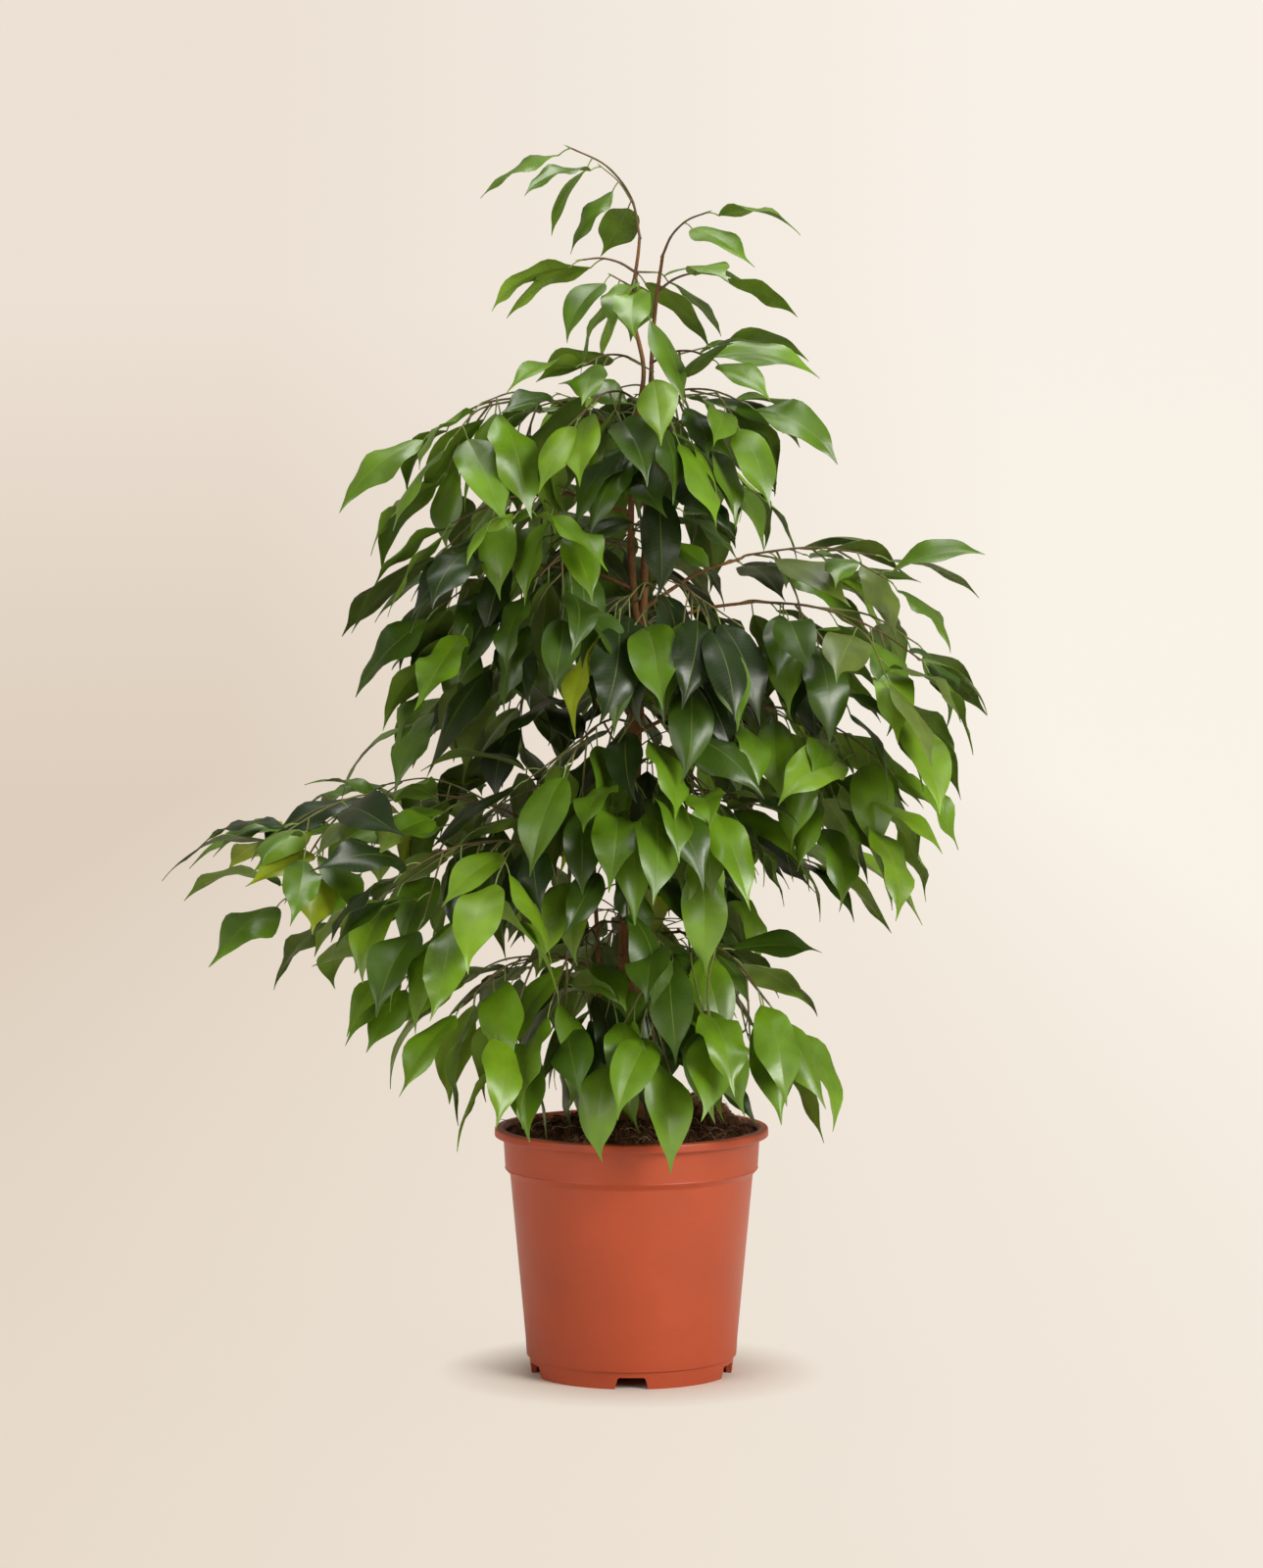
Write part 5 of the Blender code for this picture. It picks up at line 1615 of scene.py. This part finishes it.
def make_peat():
    edge = pot_inner_radius(PEAT_EDGE_Z) - GAP
    floor_z = FLOOR_UNDERSIDE_Z + FLOOR_THICKNESS + GAP
    shell = Shell()
    shell.corners.append((0, 0, peat_surface(0, 0)))
    for ring in range(1, PEAT_RINGS + 1):
        shell.corners += [(x, y, peat_surface(x, y)) for x, y in circle(edge * ring / PEAT_RINGS, PEAT_STEPS)]
    shell.faces += [(0, 1 + step, 1 + other) for step, other in around(PEAT_STEPS)]
    for height in (BAND_FOOT_Z, BODY_TOP_Z, floor_z):
        shell.corners += [(x, y, height) for x, y in circle(pot_inner_radius(height) - GAP, PEAT_STEPS)]
    last = len(shell.corners) - PEAT_STEPS
    for low in range(1, last, PEAT_STEPS):
        shell.band(low, low + PEAT_STEPS, PEAT_STEPS)
    shell.corners.append((0, 0, floor_z))
    shell.faces += [(last + other, last + step, last + PEAT_STEPS) for step, other in around(PEAT_STEPS)]
    shell.piece("peat_surface", peat_material("peat_bed", *PEAT_COLOURS), "peat", ["peat"])
    make_crumbs()
    make_fibres()


def ball(radius, seed):
    """A rough crumb: an icosphere pushed in and out."""
    shell = bmesh.new()
    bmesh.ops.create_icosphere(shell, subdivisions=1, radius=1)
    corners = []
    for corner in shell.verts:
        push = 1 + CRUMB_ROUGHNESS * noise.noise(corner.co * CRUMB_GRAIN + Vector((seed, 0, 0)))
        corners.append(corner.co * radius * push)
    faces = [tuple(v.index for v in face.verts) for face in shell.faces]
    shell.free()
    return corners, faces


def on_peat(rng):
    """A random place on the peat, clear of the trunk."""
    while True:
        radius = SCATTER_REACH * math.sqrt(rng.random())
        turn = rng.uniform(0, 2 * math.pi)
        if radius > TRUNK_KEPT_CLEAR:
            return radius * math.cos(turn), radius * math.sin(turn)


def make_crumbs():
    rng = random.Random(CRUMB_SEED)
    dark = Shell()
    light = Shell()
    for number in range(CRUMBS):
        x, y = on_peat(rng)
        size = rng.uniform(*(CRUMB_SIZES if rng.random() < CRUMB_CHANCE else CLOD_SIZES))
        corners, faces = ball(size, number * CRUMB_SHIFT)
        squash = Vector([rng.uniform(*limits) for limits in CRUMB_SQUASH])
        turn = Quaternion([rng.random() for _ in range(4)]).normalized()
        place = Vector((x, y, peat_surface(x, y) + size * CRUMB_LIFT))
        made = [tuple(place + turn @ (corner * squash)) for corner in corners]
        (light if rng.random() < LIGHT_CRUMB_CHANCE else dark).add(made, faces)
    brown = peat_material("peat_crumb_dark", *DARK_CRUMB_COLOURS, CRUMB_BUMP)
    tan = peat_material("peat_crumb_light", *LIGHT_CRUMB_COLOURS, CRUMB_BUMP)
    dark.piece("peat_crumbs_dark", brown, "peat", smooth=False)
    light.piece("peat_crumbs_light", tan, "peat", smooth=False)


def make_fibres():
    """Fibres and rootlets that lie on the peat, and a few roots that stand out of it."""
    rng = random.Random(FIBRE_SEED)
    pale = Shell()
    brown = Shell()
    for _ in range(FIBRES):
        x, y = on_peat(rng)
        length = rng.uniform(*FIBRE_LENGTH)
        heading = rng.uniform(0, 360)
        curl = rng.uniform(-FIBRE_CURL, FIBRE_CURL)
        spring = rng.uniform(*FIBRE_SPRING) * (2 if rng.random() < SPRINGY_CHANCE else 1)
        points = []
        for t in shares_of(FIBRE_STEPS):
            if t:
                move = direction(heading + curl * t, 0) * (length / FIBRE_STEPS)
                x, y = x + move.x, y + move.y
            if math.hypot(x, y) > FIBRE_LIMIT:
                break
            lift = spring * math.sin(math.pi * t) + FIBRE_LIFT
            points.append(Vector((x, y, peat_surface(x, y) + lift)))
        if len(points) < FEWEST_FIBRE_POINTS:
            continue
        thick = rng.uniform(*FIBRE_RADIUS)
        radii = [thick * (1 - FIBRE_TAPER * step / (len(points) - 1)) for step in range(len(points))]
        shell = pale if rng.random() < PALE_FIBRE_CHANCE else brown
        shell.sweep(smooth_path(points, 2), with_middles(radii), FIBRE_SIDES)
    for heading, reach, length, climb in ROOTS:
        base = direction(heading, 0) * reach
        start = Vector((base.x, base.y, peat_surface(base.x, base.y) + ROOT_LIFT))
        path = arching(start, heading, climb, length, ROOT_BEND, len(ROOT_RADII) - 1)
        brown.sweep(path, ROOT_RADII, FINE_SIDES)
    pale.piece("rootlets_pale", rib_material("rootlet_pale", PALE_FIBRE_COLOUR), "peat")
    brown.piece("rootlets_brown", rib_material("rootlet_brown", BROWN_FIBRE_COLOUR), "peat")


def with_middles(radii):
    """The radii with the middle of each two between them."""
    made = []
    for low, high in pairwise(radii):
        made += [low, (low + high) / 2]
    return [*made, radii[-1]]


# Studio

FLOOR_RINGS = (0, 0.5, 1.5, 3, 5, FLOOR_RADIUS)
SWEEP_STEPS = 12
AIR_COLOUR = (1.0, 0.97, 0.93, 1)
AIR_STRENGTH = 0.20
# Name, place, aim, width, watts and colour
LIGHTS = [
    ("key", (2.7, -2.5, 2.1), (0, 0, 0.5), 1.8, 142, (1.0, 0.975, 0.93)),
    ("fill", (-2.9, -2.6, 1.7), (0, 0, 0.5), 2.4, 46, (1.0, 0.965, 0.92)),
    ("top", (0.1, 0.5, 3.4), (0, 0, 0.4), 1.8, 62, (1.0, 0.98, 0.94)),
]


def make_stage():
    """A pale paper floor that sweeps up to a round wall."""
    profile = [(radius, 0) for radius in FLOOR_RINGS]
    for step in range(1, SWEEP_STEPS + 1):
        turn = math.pi / 2 * step / SWEEP_STEPS
        profile.append((FLOOR_RADIUS + SWEEP_RADIUS * math.sin(turn), SWEEP_RADIUS * (1 - math.cos(turn))))
    profile.append((FLOOR_RADIUS + SWEEP_RADIUS, WALL_TOP))
    stage = mesh_object("studio_floor", *lathe(profile, FLOOR_STEPS), [stage_material()])


def area_light(name, place, target, size, watts, colour):
    light = bpy.data.lights.new(name, "AREA")
    light.size = size
    light.energy = watts
    light.color = colour
    obj = linked(name, light)
    obj.location = place
    obj.rotation_euler = (Vector(target) - Vector(place)).to_track_quat("-Z", "Y").to_euler()
    obj.visible_camera = False


def make_lights():
    scene = bpy.context.scene
    scene.world = bpy.data.worlds.new("studio")
    scene.world.use_nodes = True
    background = scene.world.node_tree.nodes["Background"]
    background.inputs["Color"].default_value = AIR_COLOUR
    background.inputs["Strength"].default_value = AIR_STRENGTH
    for light in LIGHTS:
        area_light(*light)
    scene.view_settings.view_transform = "Standard"
    scene.view_settings.look = "None"


def make_camera():
    data = bpy.data.cameras.new("camera")
    data.lens = FOCAL_PIXELS / LONG_SIDE_PIXELS * SENSOR_MM
    data.sensor_width = SENSOR_MM
    data.clip_end = CAMERA_CLIP_END
    camera = linked("camera", data)
    camera.location = CAMERA_PLACE
    camera.rotation_euler = (math.radians(90 - CAMERA_TILT), 0, 0)
    bpy.context.scene.camera = camera


make_camera()
make_lights()
make_stage()
make_pot()
make_peat()
make_limbs()
make_foliage()
